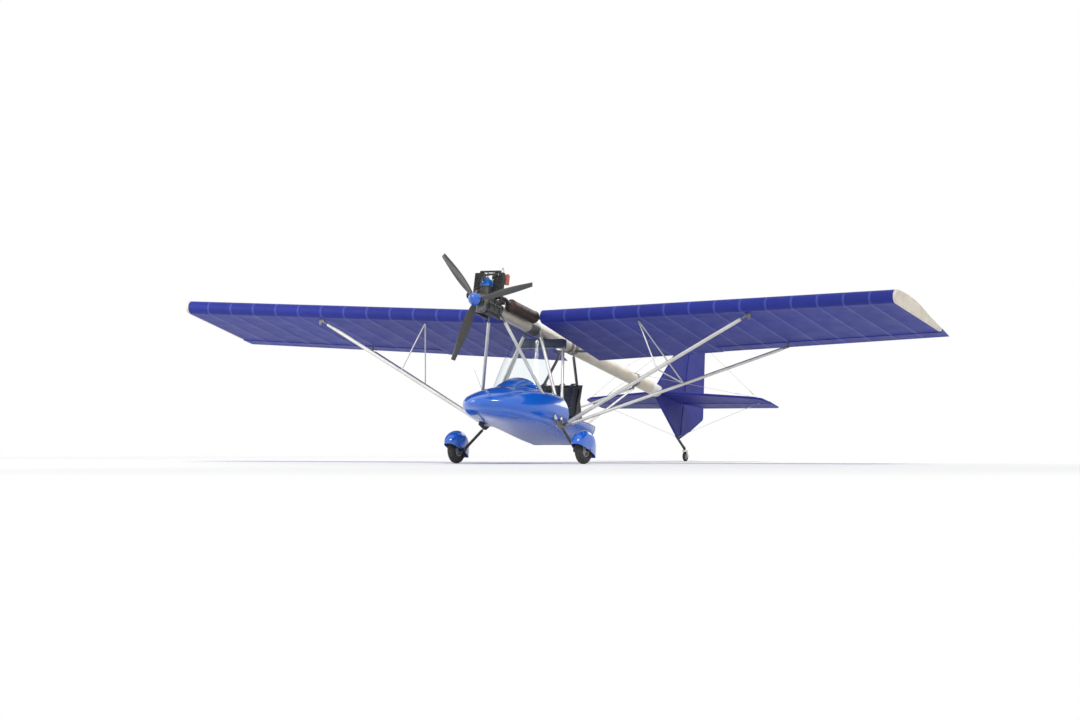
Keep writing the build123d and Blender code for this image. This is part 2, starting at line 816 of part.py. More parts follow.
# The crankcase is two halves bolted at a flange, with a stiffening rib beside each crank web
cylinder_stations = (-920.0, -800.0)
crankcase = block((-105, crank_front, crank_floor), (105, crank_rear, crank_deck), Axis.Y, 30)
crankcase = crankcase + block((-118, crank_front, -10), (118, crank_rear, 2))
for rib_s in (-975, -860, -742):
    crankcase = crankcase + block((-114, rib_s - 5, -74), (114, rib_s + 5, 58), Axis.Y, 20)
keep(on_boom(crankcase), "crankcase")

# Two water-jacketed barrels on one base flange, and one head over both
jacket_half = 60.0
barrel_top = 210.0
head_top = 300.0
cylinders = block((-jacket_half, -986, crank_deck), (jacket_half, -734, crank_deck + 12), Axis.Z, 14)
for station in cylinder_stations:
    barrel_end = (jacket_half - 2, station + 56, barrel_top - 9)
    cylinders = cylinders + block((2 - jacket_half, station - 56, crank_deck), barrel_end, Axis.Z, 34)
    port_boss_end = (jacket_half, station + 30, crank_deck + 50)
    cylinders = cylinders + block((-jacket_half, station - 30, crank_deck), port_boss_end, Axis.Y, 12)
deck_low = (-jacket_half, -982, barrel_top - 14)
cylinders = cylinders + block(deck_low, (jacket_half, -738, barrel_top), Axis.Z, 20)
keep(on_boom(cylinders), "cylinder_block")
head = block((-57, -980, barrel_top), (57, -736, barrel_top + 14), Axis.Z, 18)
head = head + block((-50, -972, barrel_top + 14), (50, -744, head_top), Axis.Y, 22)
for station in cylinder_stations:
    head = head + rod((0, station, head_top - 2), (0, station, head_top + 16), 24)
    for fin_x in (-34, 34):
        fin_low = (fin_x - 4, station - 40, barrel_top + 12)
        head = head + block(fin_low, (fin_x + 4, station + 40, head_top - 12))
head = head + rod((0, -972, 262), (0, -992, 262), 17)
keep(on_boom(head), "cylinder_head")

prop_shaft_radius = 15.0
gearbox_front = -1080.0
with BuildPart() as gearbox:
    with BuildSketch(Plane.XZ.offset(-crank_front)):
        with Locations((0, -18)):
            RectangleRounded(186, 216, 80)
    extrude(amount=12)
    with BuildSketch(Plane.XZ.offset(-crank_front)):
        with Locations((0, -18)):
            RectangleRounded(164, 196, 72)
        with PolarLocations(90, 6, start_angle=30):
            Circle(9)
    extrude(amount=crank_front - gearbox_front - 16)
    with BuildSketch(Plane.XZ.offset(-gearbox_front - 16)):
        Circle(52)
    extrude(amount=16)
    with BuildSketch(Plane.XZ.offset(-gearbox_front)):
        Circle(prop_shaft_radius + running_clearance)
    extrude(amount=-70, mode=Mode.SUBTRACT)
keep(on_boom(gearbox.part), "gearbox")

# Propeller sections as (radius, chord, thickness, pitch in degrees)
blade_sections = [(52, 46, 26, 48), (230, 104, 17, 28), (500, 96, 12, 16), (748, 56, 7, 10)]
blade_angle = 13.2
hub_radius = 46.0
hub_half_length = 30.0


def blade():
    """Blade that points along +X, its section turned by the pitch about that axis."""
    sections = []
    for radius, chord, thick, pitch in blade_sections:
        turn = radians(pitch)
        plane = Plane(origin=(radius, 0, 0), x_dir=(0, sin(turn), cos(turn)), z_dir=(1, 0, 0))
        with BuildSketch(plane) as section:
            with BuildLine():
                ThreePointArc((-chord / 2, 0), (-chord * 0.12, thick * 0.75), (chord / 2, 0))
                ThreePointArc((chord / 2, 0), (0, -thick * 0.25), (-chord / 2, 0))
            make_face()
        sections.append(section.sketch)
    return loft(sections)


one_blade = blade() + rod((hub_radius - 20, 0, 0), (70, 0, 0), 19)
propeller = rod((0, -hub_half_length, 0), (0, hub_half_length - 10, 0), hub_radius)
propeller = propeller + rod((0, hub_half_length - 10, 0), (0, hub_half_length, 0), hub_radius + 8)
propeller = propeller + rod((0, hub_half_length, 0), (0, -hub_s + gearbox_front + 62, 0), prop_shaft_radius)
for number in range(blade_count):
    propeller = propeller + one_blade.rotate(Axis.Y, -blade_angle - number * 360 / blade_count)
propeller = propeller.moved(Location((0, hub_s, 0)))
keep(on_boom(propeller), "propeller")

spinner_tip = hub_s - 132.0
spinner_base = hub_s - hub_half_length
with BuildPart() as spinner:
    with BuildSketch(Plane.XY):
        with BuildLine():
            ball = ThreePointArc((0, spinner_tip), (17, spinner_tip + 3.5), (32, spinner_tip + 13.3))
            side = TangentArc([ball @ 1, (spinner_radius, spinner_base)], tangent=ball % 1)
            Polyline(side @ 1, (0, spinner_base), (0, spinner_tip))
        make_face()
    revolve(axis=Axis.Y)
keep(on_boom(spinner.part), "spinner")

# Radiators stand side by side over the crankcase
radiator_low = 138.0
radiator_high = 384.0
radiator_s = -868.0
radiator_half = 22.0
radiators = []
for side in (1, -1):
    inner, outer = sorted((side * 66, side * 192))
    core_low = (inner, radiator_s - radiator_half, radiator_low)
    radiator = block(core_low, (outer, radiator_s + radiator_half, radiator_high), Axis.Y, 10)
    for step in range(9):
        height = radiator_low + 34 + step * 20
        for face_s in (-1, 1):
            face = radiator_s + face_s * radiator_half
            radiator = radiator - block((inner + 10, face - 5, height), (outer - 10, face + 5, height + 12))
    radiator = radiator + rod((side * 84, radiator_s, 84), (side * 84, radiator_s, radiator_low + 2), 6)
    radiators.append(radiator)
keep(on_boom(together(radiators)), "radiators")
hose_n = radiator_high + 18
hose = rod((-128, radiator_s, hose_n), (128, radiator_s, hose_n), 12)
for side in (-1, 1):
    hose = hose + rod((side * 128, radiator_s, radiator_high), (side * 128, radiator_s, hose_n), 12)
    hose = hose + Sphere(12).moved(Location((side * 128, radiator_s, hose_n)))
keep(on_boom(hose), "coolant_hose")
bottle = rod((186, -786, 262), (186, -786, 372), 28) + rod((186, -786, 372), (186, -786, 386), 16)
bottle = bottle + block((176, radiator_s + radiator_half, 330), (190, -790, 342))
keep(on_boom(bottle), "coolant_bottle")

# Exhaust: two ports, a collector and a long silencer beside the boom
port_n = 106.0
pipe_x = 150.0
silencer_x = 142.0
silencer_n = 70.0
silencer_radius = 72.0
exhaust = rod((pipe_x, -920, port_n), (pipe_x, -700, port_n), 20)
for port_s in cylinder_stations:
    exhaust = exhaust + rod((jacket_half + seat_gap, port_s, port_n), (pipe_x, port_s, port_n), 20)
exhaust = exhaust + Sphere(20).moved(Location((pipe_x, -920, port_n)))
exhaust = exhaust + Sphere(20).moved(Location((pipe_x, -700, port_n)))
exhaust = exhaust + rod((pipe_x, -700, port_n), (silencer_x, -630, silencer_n), 20)
with BuildPart() as silencer:
    with BuildSketch(Plane.XY):
        with BuildLine():
            Polyline(
                (0, -650),
                (24, -650),
                (30, -620),
                (silencer_radius, -570),
                (silencer_radius + 4, -566),
                (silencer_radius + 4, -560),
                (silencer_radius, -556),
                (silencer_radius, -14),
                (silencer_radius + 4, -10),
                (silencer_radius + 4, -4),
                (silencer_radius, 0),
                (22, 44),
                (22, 66),
                (0, 66),
                close=True,
            )
        make_face()
    revolve(axis=Axis.Y)
exhaust = exhaust + silencer.part.moved(Location((silencer_x, 0, silencer_n)))
keep(on_boom(exhaust), "exhaust")

# Carburettors and their filters on the starboard side
carburettors = None
filters = None
for port_s in cylinder_stations:
    intake = rod((-jacket_half - seat_gap, port_s, port_n), (-96, port_s, port_n), 17)
    intake = intake + rod((-96, port_s, port_n), (-160, port_s, port_n), 25)
    intake = intake + rod((-128, port_s, port_n - 52), (-128, port_s, port_n), 20)
    intake = intake + rod((-128, port_s, port_n), (-128, port_s, port_n + 46), 17)
    intake = intake + rod((-128, port_s, port_n + 46), (-128, port_s, port_n + 54), 20)
    clean = rod((-160, port_s, port_n), (-198, port_s, port_n), 21)
    clean = clean + rod((-198, port_s, port_n), (-238, port_s, port_n), 36)
    carburettors = intake if carburettors is None else carburettors + intake
    filters = clean if filters is None else filters + clean
keep(on_boom(carburettors), "carburettors")
keep(on_boom(filters), "air_filters")


# Tail surfaces, drawn in the boom's frame
def outline_plate(points, plane, thickness, edge_round):
    """Flat surface of one thickness with rounded edges."""
    with BuildPart() as plate_part:
        with BuildSketch(plane.offset(-thickness / 2)):
            with BuildLine():
                Polyline(*points, close=True)
            make_face()
        extrude(amount=thickness)
        if edge_round:
            fillet(plate_part.faces().sort_by(Axis(plane.origin, plane.z_dir))[0].edges(), edge_round)
            fillet(plate_part.faces().sort_by(Axis(plane.origin, plane.z_dir))[-1].edges(), edge_round)
    return plate_part.part


side_plane = Plane(origin=(0, 0, 0), x_dir=(0, 1, 0), z_dir=(1, 0, 0))
torque_tube_radius = 11.0
fin = outline_plate(fin_outline, side_plane, tail_thickness, 13)
tube_end = (50, elevator_hinge_s, tailplane_n)
fin = fin - rod((-50, elevator_hinge_s, tailplane_n), tube_end, torque_tube_radius + 6)
rudder_plane = Plane(origin=(0, rudder_hinge_s, 0), x_dir=(0, 1, 0), z_dir=(0, 0, 1))
rudder_reach = rudder_hinge_s - fin_rear_s
rudder_hinges = [rudder_plane.offset(height) for height in (-330, 250, 800)]
for plane in rudder_hinges:
    fin = fin + hinge_lug(plane, rudder_reach)
fin = fin + rod((0, boom_rear - 60, 0), (0, boom_rear + 3, 0), boom_radius - boom_wall - seat_gap)
keep(on_boom(fin), "fin")


def wedge(plane, nose, chord, tail_half, low, high):
    """Tapered slab: round nose on the hinge line, straight sides to a thin trailing edge."""
    with BuildPart() as slab:
        with BuildSketch(plane.offset(low)):
            with BuildLine():
                arc = ThreePointArc((0, -nose), (-nose, 0), (0, nose))
                upper = Line(arc @ 1, (chord, tail_half))
                edge = Line(upper @ 1, (chord, -tail_half))
                Line(edge @ 1, arc @ 0)
            make_face()
        extrude(amount=high - low)
    return slab.part


rudder = outline_plate(rudder_outline, side_plane, 80, 0)
rudder = rudder & wedge(rudder_plane, rudder_nose, rudder_chord, 4, -600, 1100)
for plane in rudder_hinges:
    rudder = rudder - hinge_slot(plane)
keep(on_boom(rudder), "rudder")

flat_plane = Plane.XY.offset(tailplane_n)
tailplane = outline_plate(tailplane_outline, flat_plane, tailplane_thickness, 12)
elevator_plane = Plane(origin=(0, elevator_hinge_s, tailplane_n), x_dir=(0, 1, 0), z_dir=(-1, 0, 0))
elevator_half = outline_plate(elevator_outline, flat_plane, 80, 0)
elevator_half = elevator_half & wedge(elevator_plane, elevator_nose, elevator_chord, 4, -1300, 1300)
elevator_reach = elevator_hinge_s - tailplane_rear_s
for station in (150, 620, 1150):
    plane = elevator_plane.offset(-station)
    tailplane = tailplane + hinge_lug(plane, elevator_reach)
    elevator_half = elevator_half - hinge_slot(plane)
keep(on_boom(together(both(tailplane))), "tailplane")
torque_tube = rod((-50, elevator_hinge_s, tailplane_n), tube_end, torque_tube_radius)
elevator = elevator_half + mirror(elevator_half, about=Plane.YZ) + torque_tube
keep(on_boom(elevator), "elevator")

# The aircraft's attitude at rest, from the main wheels and the tailwheel on one floor
tail_axle_y = boom_point(0, fin_rear_s, 0)[1] + 190.6
tail_axle_z = boom_point(0, fin_rear_s, fin_foot_n)[2] - 192.0
run = hypot(tail_axle_y - wheel_y, tail_axle_z - wheel_z)
rise_angle = atan2(tail_axle_z - wheel_z, tail_axle_y - wheel_y)
pitch = degrees(rise_angle - asin((tail_tyre_radius - tyre_radius) / run))
turn = radians(pitch)
lift = tyre_radius - (-wheel_y * sin(turn) + wheel_z * cos(turn))
parked = Location((0, 0, lift), (-pitch, 0, 0))

# Tailwheel: a strip spring off the fin's foot, a bush, a steered fork and the wheel
trail = 28.0
pivot_height = 88.0
level_y = (0, cos(turn), sin(turn))
level_z = (0, -sin(turn), cos(turn))
pivot = Vector(0, tail_axle_y, tail_axle_z) - Vector(*level_y) * trail + Vector(*level_z) * pivot_height
tail_plane = Plane(origin=pivot, x_dir=(1, 0, 0), z_dir=level_z)


def at_tail(shape):
    return shape.moved(tail_plane.location)


bush = at_tail(rod((0, 0, -8), (0, 0, 32), 15))
spring_root = boom_point(0, fin_rear_s - 70, fin_foot_n + 20)
spring = lug(spring_root, (0, pivot.Y, pivot.Z + 12), (pivot - Vector(*spring_root)).length, 9, 34)
tail_leg = (spring + bush) - at_tail(rod((0, 0, -40), (0, 0, 60), 7 + running_clearance)) - on_boom(fin)
keep(tail_leg, "tail_leg")
fork = rod((0, 0, -12), (0, 0, 34), 7) + rod((0, 0, 32.6), (0, 0, 42), 12)
fork = fork + block((-30, -14, -22), (30, trail + 12, -8.6), Axis.Z, 10)
for side in (-1, 1):
    fork = fork + block((side * 26 - 3, trail - 14, -pivot_height - 12), (side * 26 + 3, trail + 12, -12))
fork = fork + rod((-32, trail, -pivot_height), (32, trail, -pivot_height), tail_axle_radius)
keep(at_tail(fork), "tailwheel_fork")
with BuildPart() as tail_wheel:
    with BuildSketch(Plane.XZ):
        with BuildLine():
            Line((30, -12), (50, -16))
            ThreePointArc((50, -16), (tail_tyre_radius, 0), (50, 16))
            Polyline((50, 16), (30, 12), (30, -12))
        make_face()
    revolve(axis=Axis.Z)
with BuildPart() as tail_hub:
    with BuildSketch(Plane.XZ):
        with BuildLine():
            Polyline(
                (tail_axle_radius + running_clearance, -22),
                (14, -22),
                (16, -11),
                (30, -11),
                (30, 11),
                (16, 11),
                (14, 22),
                (tail_axle_radius + running_clearance, 22),
                close=True,
            )
        make_face()
    revolve(axis=Axis.Z)
tail_wheel_place = Location(Plane(origin=(0, trail, -pivot_height), x_dir=(0, 1, 0), z_dir=(1, 0, 0)))
keep(at_tail(tail_wheel.part.moved(tail_wheel_place)), "tailwheel_tyre")
keep(at_tail(tail_hub.part.moved(tail_wheel_place)), "tailwheel_hub")

# Cockpit: rear frame, bench, seats with cushions, tank, panel under its cowl, stick, pedals, screen
rear_tube_y = 885.0
rear_tube_z = -1000.0
rear_frame = rod((-500, rear_tube_y, rear_tube_z), (500, rear_tube_y, rear_tube_z), 18) & pod_cavity
for ear in (
    lug((402, rear_tube_y, rear_tube_z), rear_tube_foot, 60),
    lug(rear_tube_foot, rear_tube_top, 50),
    lug((392, rear_tube_y, rear_tube_z), brace_foot, 73),
    lug(brace_foot, brace_top, 50),
):
    for twin in both(ear):
        rear_frame = rear_frame + twin
keep(rear_frame, "rear_frame")
bench_top = -990.0
bench = block((-392, 320, -1160), (392, 800, bench_top), Axis.Z, 30) & pod_cavity
keep(bench, "seat_bench")
seat_width = 372.0
bolster_thickness = 8.0
seat_x = 199.0


def seat_shell():
    with BuildPart() as shell:
        with BuildSketch(Plane.YZ.offset(seat_x - seat_width / 2)):
            with BuildLine():
                Polyline(
                    (330, bench_top), (790, bench_top), (868, -470), (856, -466), (772, bench_top + 14),
                    (345, bench_top + 14), (335, bench_top + 40), (325, bench_top + 36),
                    close=True,
                )
            make_face()
        extrude(amount=seat_width)
        fillet(shell.edges().filter_by(Axis.X), 3)
    bucket = shell.part
    for inner_x in (seat_x - seat_width / 2, seat_x + seat_width / 2 - bolster_thickness):
        with BuildPart() as bolster:
            with BuildSketch(Plane.YZ.offset(inner_x)):
                with BuildLine():
                    front_edge = Line((350, bench_top + 6), (356, bench_top + 62))
                    pan_edge = Line(front_edge @ 1, (640, bench_top + 84))
                    knee = TangentArc([pan_edge @ 1, (768, bench_top + 250)], tangent=pan_edge % 1)
                    back_edge = Line(knee @ 1, (826, -540))
                    Polyline(back_edge @ 1, (850, -500), (858, -530), (790, bench_top + 6), front_edge @ 0)
                make_face()
            extrude(amount=bolster_thickness)
        bucket = bucket + bolster.part
    return bucket


keep(together(both(seat_shell())), "seats")
cushion_floor = bench_top + 14 + seat_gap
back_lean = atan2(84, 510)
cushion = block((seat_x - 165, 360, cushion_floor), (seat_x + 165, 722, cushion_floor + 62), Axis.X, 22)
back_foot = 96.0
back_face_y = 772 + (back_foot - 14) * tan(back_lean)
back_origin = (seat_x, back_face_y, bench_top + back_foot)
back_plane = Plane(origin=back_origin, x_dir=(1, 0, 0), z_dir=(0, sin(back_lean), cos(back_lean)))
back = block((-165, -56, 0), (165, -0.4, 400), Axis.X, 20)
keep(together(both(cushion)), "seat_cushions")
keep(together(both(back.moved(back_plane.location))), "back_cushions")
tank = block((-300, 912, -1200), (300, 1046, -770), Axis.X, 26) & pod_cavity
tank = tank + rod((150, 980, -771), (150, 980, -752), 34)
keep(tank, "fuel_tank")

# Cowl over the instruments, as (y, half width, top z)
cowl_sections = [(-335, 190, -722), (-180, 300, -600), (-20, 372, -527)]
cowl_base = -780.0


def cowl_body(inset):
    sections = []
    for y, half_width, top in cowl_sections:
        with BuildSketch(Plane(origin=(0, y, 0), x_dir=(1, 0, 0), z_dir=(0, -1, 0))) as arch:
            w = half_width - inset
            with BuildLine():
                ThreePointArc((-w, cowl_base), (0, top - inset), (w, cowl_base))
                Line((w, cowl_base), (-w, cowl_base))
            make_face()
        sections.append(arch.sketch)
    return loft(sections)


cowl_outer = cowl_body(0)
cowl_inner = cowl_body(6)
front_tube_cuts = both(rod(front_tube_top, front_tube_foot, cabane_radius + pod_hole_clearance))
cowl = cowl_outer - cowl_inner - pod_outer
for hole in front_tube_cuts:
    cowl = cowl - hole
cowl = cowl.solids().sort_by(SortBy.VOLUME)[-1]
keep(cowl, "instrument_cowl")
panel = block((-330, -46, -800), (330, -38, -400)) & cowl_inner
panel = panel - pod_shell
panel = panel.solids().sort_by(SortBy.VOLUME)[-1]
# Instrument bezels, as (x, z, radius)
for dial_x, dial_z, dial_radius in (
    (0, -610, 44),
    (-104, -628, 44),
    (104, -628, 44),
    (-206, -668, 32),
    (206, -668, 32),
    (-60, -712, 32),
    (60, -712, 32),
):
    bezel = rod((dial_x, -39, dial_z), (dial_x, -28, dial_z), dial_radius)
    panel = panel + (bezel - rod((dial_x, -34, dial_z), (dial_x, -20, dial_z), dial_radius - 6))
throttle_foot = (-150.0, -39.0, -712.0)
panel = panel + rod(throttle_foot, (-150, 40, -700), 5) + rod((-150, 40, -700), (-150, 66, -696), 14)
keep(panel, "instrument_panel")
stick_foot = (0, 290, -1200)
stick_top = (0, 250, -800)
stick = rod(stick_foot, stick_top, 11) & pod_cavity
stick = stick + rod(along(stick_foot, stick_top, 0.995), along(stick_foot, stick_top, 1.28), 17)
stick = stick + rod(along(stick_foot, stick_top, 1.27), along(stick_foot, stick_top, 1.31), 21)
stick = stick + (Cone(40, 14, 70).moved(Location((0, 285, -1090))) & pod_cavity)
keep(stick, "control_stick")
pedal_y = -330.0
pedals = rod((-330, pedal_y, -1020), (330, pedal_y, -1020), 9)
for pedal_x in (-280, -110, 110, 280):
    pedal_low = (pedal_x - 38, pedal_y - 5, -1012)
    pedals = pedals + block(pedal_low, (pedal_x + 38, pedal_y + 3, -905), Axis.Y, 12)
    pedals = pedals + block((pedal_x - 12, pedal_y - 12, -1200), (pedal_x + 12, pedal_y + 12, -1014))
pedals = pedals & pod_cavity
keep(pedals, "rudder_pedals")

# Windscreen: one bent sheet that stands on the deck and cowl, as (half width, side y, middle y, z)
screen_foot = (452, 76, -146, -790)
screen_head = (198, 124, 52, -50)
screen_thickness = 3.0


def screen_body(grow):
    sections = []
    for half_width, side_y, middle_y, z in (screen_foot, screen_head):
        with BuildSketch(Plane.XY.offset(z)) as strip:
            with BuildLine():
                front = ThreePointArc((-half_width, side_y), (0, middle_y), (half_width, side_y))
                step = Line(front @ 1, (half_width, side_y + grow))
                rear_arc = ThreePointArc(step @ 1, (0, middle_y + grow), (-half_width, side_y + grow))
                Line(rear_arc @ 1, front @ 0)
            make_face()
        sections.append(strip.sketch)
    return loft(sections, ruled=True)


screen = screen_body(screen_thickness) - pod_outer - cowl_outer
for hole in front_tube_cuts:
    screen = screen - hole
screen = screen.solids().sort_by(SortBy.VOLUME)[-1]
keep(screen, "windscreen")

# Stand it on its wheels, with the origin on the floor under the middle of its box, and write each piece
stood = {label: shape.moved(parked) for label, shape in pieces.items()}
boxes = [shape.bounding_box() for shape in stood.values()]
middle_y = (min(box.min.Y for box in boxes) + max(box.max.Y for box in boxes)) / 2
centring = Location((0, -middle_y, 0))
for label, shape in stood.items():
    placed = shape.moved(centring)
    placed.label = label
    export_step(placed, f"parts/{label}.step")
print(len(pieces), "pieces, pitch", round(pitch, 3), "lift", round(lift, 1), "shift", round(-middle_y, 1))
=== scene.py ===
# %% Load the frame
import bmesh
import bpy
import math
from mathutils import Matrix, Vector
from mathutils.bvhtree import BVHTree


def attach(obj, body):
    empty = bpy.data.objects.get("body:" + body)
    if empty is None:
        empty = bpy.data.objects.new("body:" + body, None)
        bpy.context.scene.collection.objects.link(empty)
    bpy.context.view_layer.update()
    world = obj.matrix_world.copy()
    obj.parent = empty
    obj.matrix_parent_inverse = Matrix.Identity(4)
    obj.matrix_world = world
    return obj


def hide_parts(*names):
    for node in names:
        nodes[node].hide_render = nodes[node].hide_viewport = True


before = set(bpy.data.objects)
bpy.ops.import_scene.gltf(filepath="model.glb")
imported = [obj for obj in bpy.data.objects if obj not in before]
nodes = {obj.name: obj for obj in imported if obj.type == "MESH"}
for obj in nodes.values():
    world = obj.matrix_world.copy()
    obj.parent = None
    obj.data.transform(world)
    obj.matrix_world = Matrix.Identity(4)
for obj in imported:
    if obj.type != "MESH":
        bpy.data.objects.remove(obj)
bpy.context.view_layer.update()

# %% [markdown]
# This aircraft stands on three wheels, nose up. Its drawings, though, are level: x to port, y aft, z up,
# with the wing's nose at y = 0. It is easier to think in that level frame, so one function turns a level
# point into the parked one, and another does it for the engine and tail, which follow the axis of the tail
# boom.

# %% Places in the level frame and along the boom
PARKED_PITCH = math.radians(9.20990)
PARKED_LIFT = 1.527128
PARKED_SHIFT = -1.725077
BOOM_DROP = math.radians(3.7)
BOOM_AXIS_Z = 0.127
BOOM_RADIUS = 0.075
BOOM_FRONT = -0.690
BOOM_REAR = 3.450
SIDES = ((1, "port"), (-1, "starboard"))

park = (
    Matrix.Translation((0, PARKED_SHIFT, PARKED_LIFT))
    @ Matrix.Rotation(-PARKED_PITCH, 4, "X")
)
boom = park @ Matrix.Translation((0, 0, BOOM_AXIS_Z)) @ Matrix.Rotation(-BOOM_DROP, 4, "X")
park_turn = park.to_3x3()
boom_turn = boom.to_3x3()
across = Vector((1, 0, 0))
aft = park_turn @ Vector((0, 1, 0))
along_boom = boom_turn @ Vector((0, 1, 0))
above_boom = boom_turn @ Vector((0, 0, 1))


def level(x, y, z):
    """Parked place of a point given in the level frame."""
    return park @ Vector((x, y, z))


def on_boom(x, s, n):
    """Parked place of a point given as port, aft along the boom, and up from its axis."""
    return boom @ Vector((x, s, n))


print("boom runs from", tuple(round(c, 3) for c in on_boom(0, BOOM_FRONT, 0)), "to",
      tuple(round(c, 3) for c in on_boom(0, BOOM_REAR, 0)))

# %% [markdown]
# The aircraft is lit by one broad sun and two soft lamps. The picture was taken from far away with a long
# lens, from the front and the aircraft's left, so the camera stands just over fifty metres off, near the
# ground.

# %% Camera and lamps
VIEW_AZIMUTH = math.radians(29.45)
VIEW_DISTANCE = 52.4
CAMERA_HEIGHT = 0.42
LENS_MM = 147.4
SENSOR_MM = 36.0
SIGHT_END = 900
LAMP_AIM = Vector((0, 0, 1.2))
LAMP_SIZE = 8.0
SUN_TRAVEL = Vector((-0.48, 0.62, -1.0))
WHITE = (1, 1, 1, 1)

scene = bpy.context.scene
scene.view_settings.view_transform = "Standard"


def place_object(name, data):
    """New object in the scene, at the origin."""
    made = bpy.data.objects.new(name, data)
    scene.collection.objects.link(made)
    return made


def facing(direction):
    """Turn that points a camera or a lamp along a direction."""
    return direction.to_track_quat("-Z", "Y").to_euler()


aim = level(0, 0.474, -0.228)
camera_data = bpy.data.cameras.new("camera")
camera_data.lens = LENS_MM
camera_data.sensor_width = SENSOR_MM
camera_data.clip_end = SIGHT_END
camera = place_object("camera", camera_data)
camera.location = aim + Vector((math.sin(VIEW_AZIMUTH), -math.cos(VIEW_AZIMUTH), 0)) * VIEW_DISTANCE
camera.location.z = CAMERA_HEIGHT
camera.rotation_euler = facing(aim - camera.location)
scene.camera = camera


def area_lamp(name, place, watts):
    """Round soft lamp that shines at the middle of the aircraft."""
    data = bpy.data.lights.new(name, "AREA")
    data.shape = "DISK"
    data.size = LAMP_SIZE
    data.energy = watts
    lamp = place_object(name, data)
    lamp.location = place
    lamp.rotation_euler = facing(LAMP_AIM - Vector(place))


area_lamp("fill_lamp", (-10.0, -8.0, 5.0), 420)
area_lamp("back_lamp", (3.0, 12.0, 8.0), 520)
key_data = bpy.data.lights.new("key_lamp", "SUN")
key_data.energy = 1.9
key_data.angle = math.radians(14)
key_data.color = (1.0, 0.985, 0.96)
key_lamp = place_object("key_lamp", key_data)
key_lamp.rotation_euler = facing(SUN_TRAVEL)
print("camera at", tuple(round(c, 2) for c in camera.location), "lens", LENS_MM)

# %% [markdown]
# Light from all round comes from the world, which is made of nodes, as the finishes are. One function makes
# a node of any tree. The camera, reflections and clear plastic see plain white, like a studio's backdrop,
# while all other light from the sky is soft and a little blue.

# %% A white sky


def node(tree, kind, place=(0, 0), **values):
    """New node of a tree, at a place in its editor, with some of its settings."""
    made = tree.nodes.new(kind)
    made.location = place
    for key, value in values.items():
        setattr(made, key, value)
    return made


world = bpy.data.worlds.new("studio")
scene.world = world
world.use_nodes = True
sky = world.node_tree
sky.nodes.clear()


def background(colour, strength):
    """Even light of one colour from the whole sky."""
    made = node(sky, "ShaderNodeBackground")
    made.inputs["Color"].default_value = colour
    made.inputs["Strength"].default_value = strength
    return made.outputs[0]


rays = node(sky, "ShaderNodeLightPath")
seen = rays.outputs["Is Camera Ray"]
for ray in ("Is Glossy Ray", "Is Transmission Ray"):
    either = node(sky, "ShaderNodeMath", operation="MAXIMUM")
    sky.links.new(seen, either.inputs[0])
    sky.links.new(rays.outputs[ray], either.inputs[1])
    seen = either.outputs[0]
choose = node(sky, "ShaderNodeMixShader")
sky.links.new(seen, choose.inputs["Fac"])
sky.links.new(background((0.93, 0.96, 1.0, 1), 0.42), choose.inputs[1])
sky.links.new(background(WHITE, 1.0), choose.inputs[2])
sky.links.new(choose.outputs[0], node(sky, "ShaderNodeOutputWorld").inputs["Surface"])
print("sky has", len(sky.nodes), "nodes")

# %% [markdown]
# The floor is one pale square. Far from the aircraft it turns to plain white, but for the camera alone, so
# that no horizon shows and the light that it throws up under the wings stays even.

# %% Floor
FLOOR_REACH = 380.0
FADE_START = 7.0
FADE_END = 17.0
floor_mesh = bpy.data.meshes.new("floor")
floor_corners = [(x * FLOOR_REACH, y * FLOOR_REACH, 0) for x, y in ((-1, -1), (1, -1), (1, 1), (-1, 1))]
floor_mesh.from_pydata(floor_corners, [], [(0, 1, 2, 3)])
floor = place_object("floor", floor_mesh)
floor_paint = bpy.data.materials.new("floor_paint")
floor_paint.use_nodes = True
paint_tree = floor_paint.node_tree
pale_floor = paint_tree.nodes["Principled BSDF"]
pale_floor.inputs["Base Color"].default_value = (0.93, 0.93, 0.93, 1)
pale_floor.inputs["Roughness"].default_value = 0.95
pale_floor.inputs["Specular IOR Level"].default_value = 0.1
far_white = node(paint_tree, "ShaderNodeEmission")
far_white.inputs["Color"].default_value = WHITE
from_middle = node(paint_tree, "ShaderNodeVectorMath", operation="LENGTH")
paint_tree.links.new(node(paint_tree, "ShaderNodeTexCoord").outputs["Object"], from_middle.inputs[0])
fade = node(paint_tree, "ShaderNodeMapRange", clamp=True, interpolation_type="SMOOTHSTEP")
fade.inputs["From Min"].default_value = FADE_START
fade.inputs["From Max"].default_value = FADE_END
paint_tree.links.new(from_middle.outputs["Value"], fade.inputs["Value"])
for_camera = node(paint_tree, "ShaderNodeMath", operation="MULTIPLY")
paint_tree.links.new(fade.outputs["Result"], for_camera.inputs[0])
paint_tree.links.new(node(paint_tree, "ShaderNodeLightPath").outputs["Is Camera Ray"], for_camera.inputs[1])
floor_mix = node(paint_tree, "ShaderNodeMixShader")
paint_tree.links.new(for_camera.outputs[0], floor_mix.inputs["Fac"])
paint_tree.links.new(pale_floor.outputs[0], floor_mix.inputs[1])
paint_tree.links.new(far_white.outputs[0], floor_mix.inputs[2])
paint_tree.links.new(floor_mix.outputs[0], paint_tree.nodes["Material Output"].inputs["Surface"])
floor_mesh.materials.append(floor_paint)
print("floor reaches", FLOOR_REACH, "m, white from", FADE_END, "m")

# %% [markdown]
# Every finish is made of nodes, and reads Object coordinates, so that the pattern has a real size in metres
# and stays put on the piece. A small kit makes the nodes that most of them share: a place to start, noise,
# a ramp from one colour to another, and a bump.

# %% A kit for finishes
MIX_COLOURS = (6, 7)
MIX_RESULT = 2


def shade(colour, share):
    """The same colour, lighter or darker."""
    return tuple(channel * share for channel in colour)


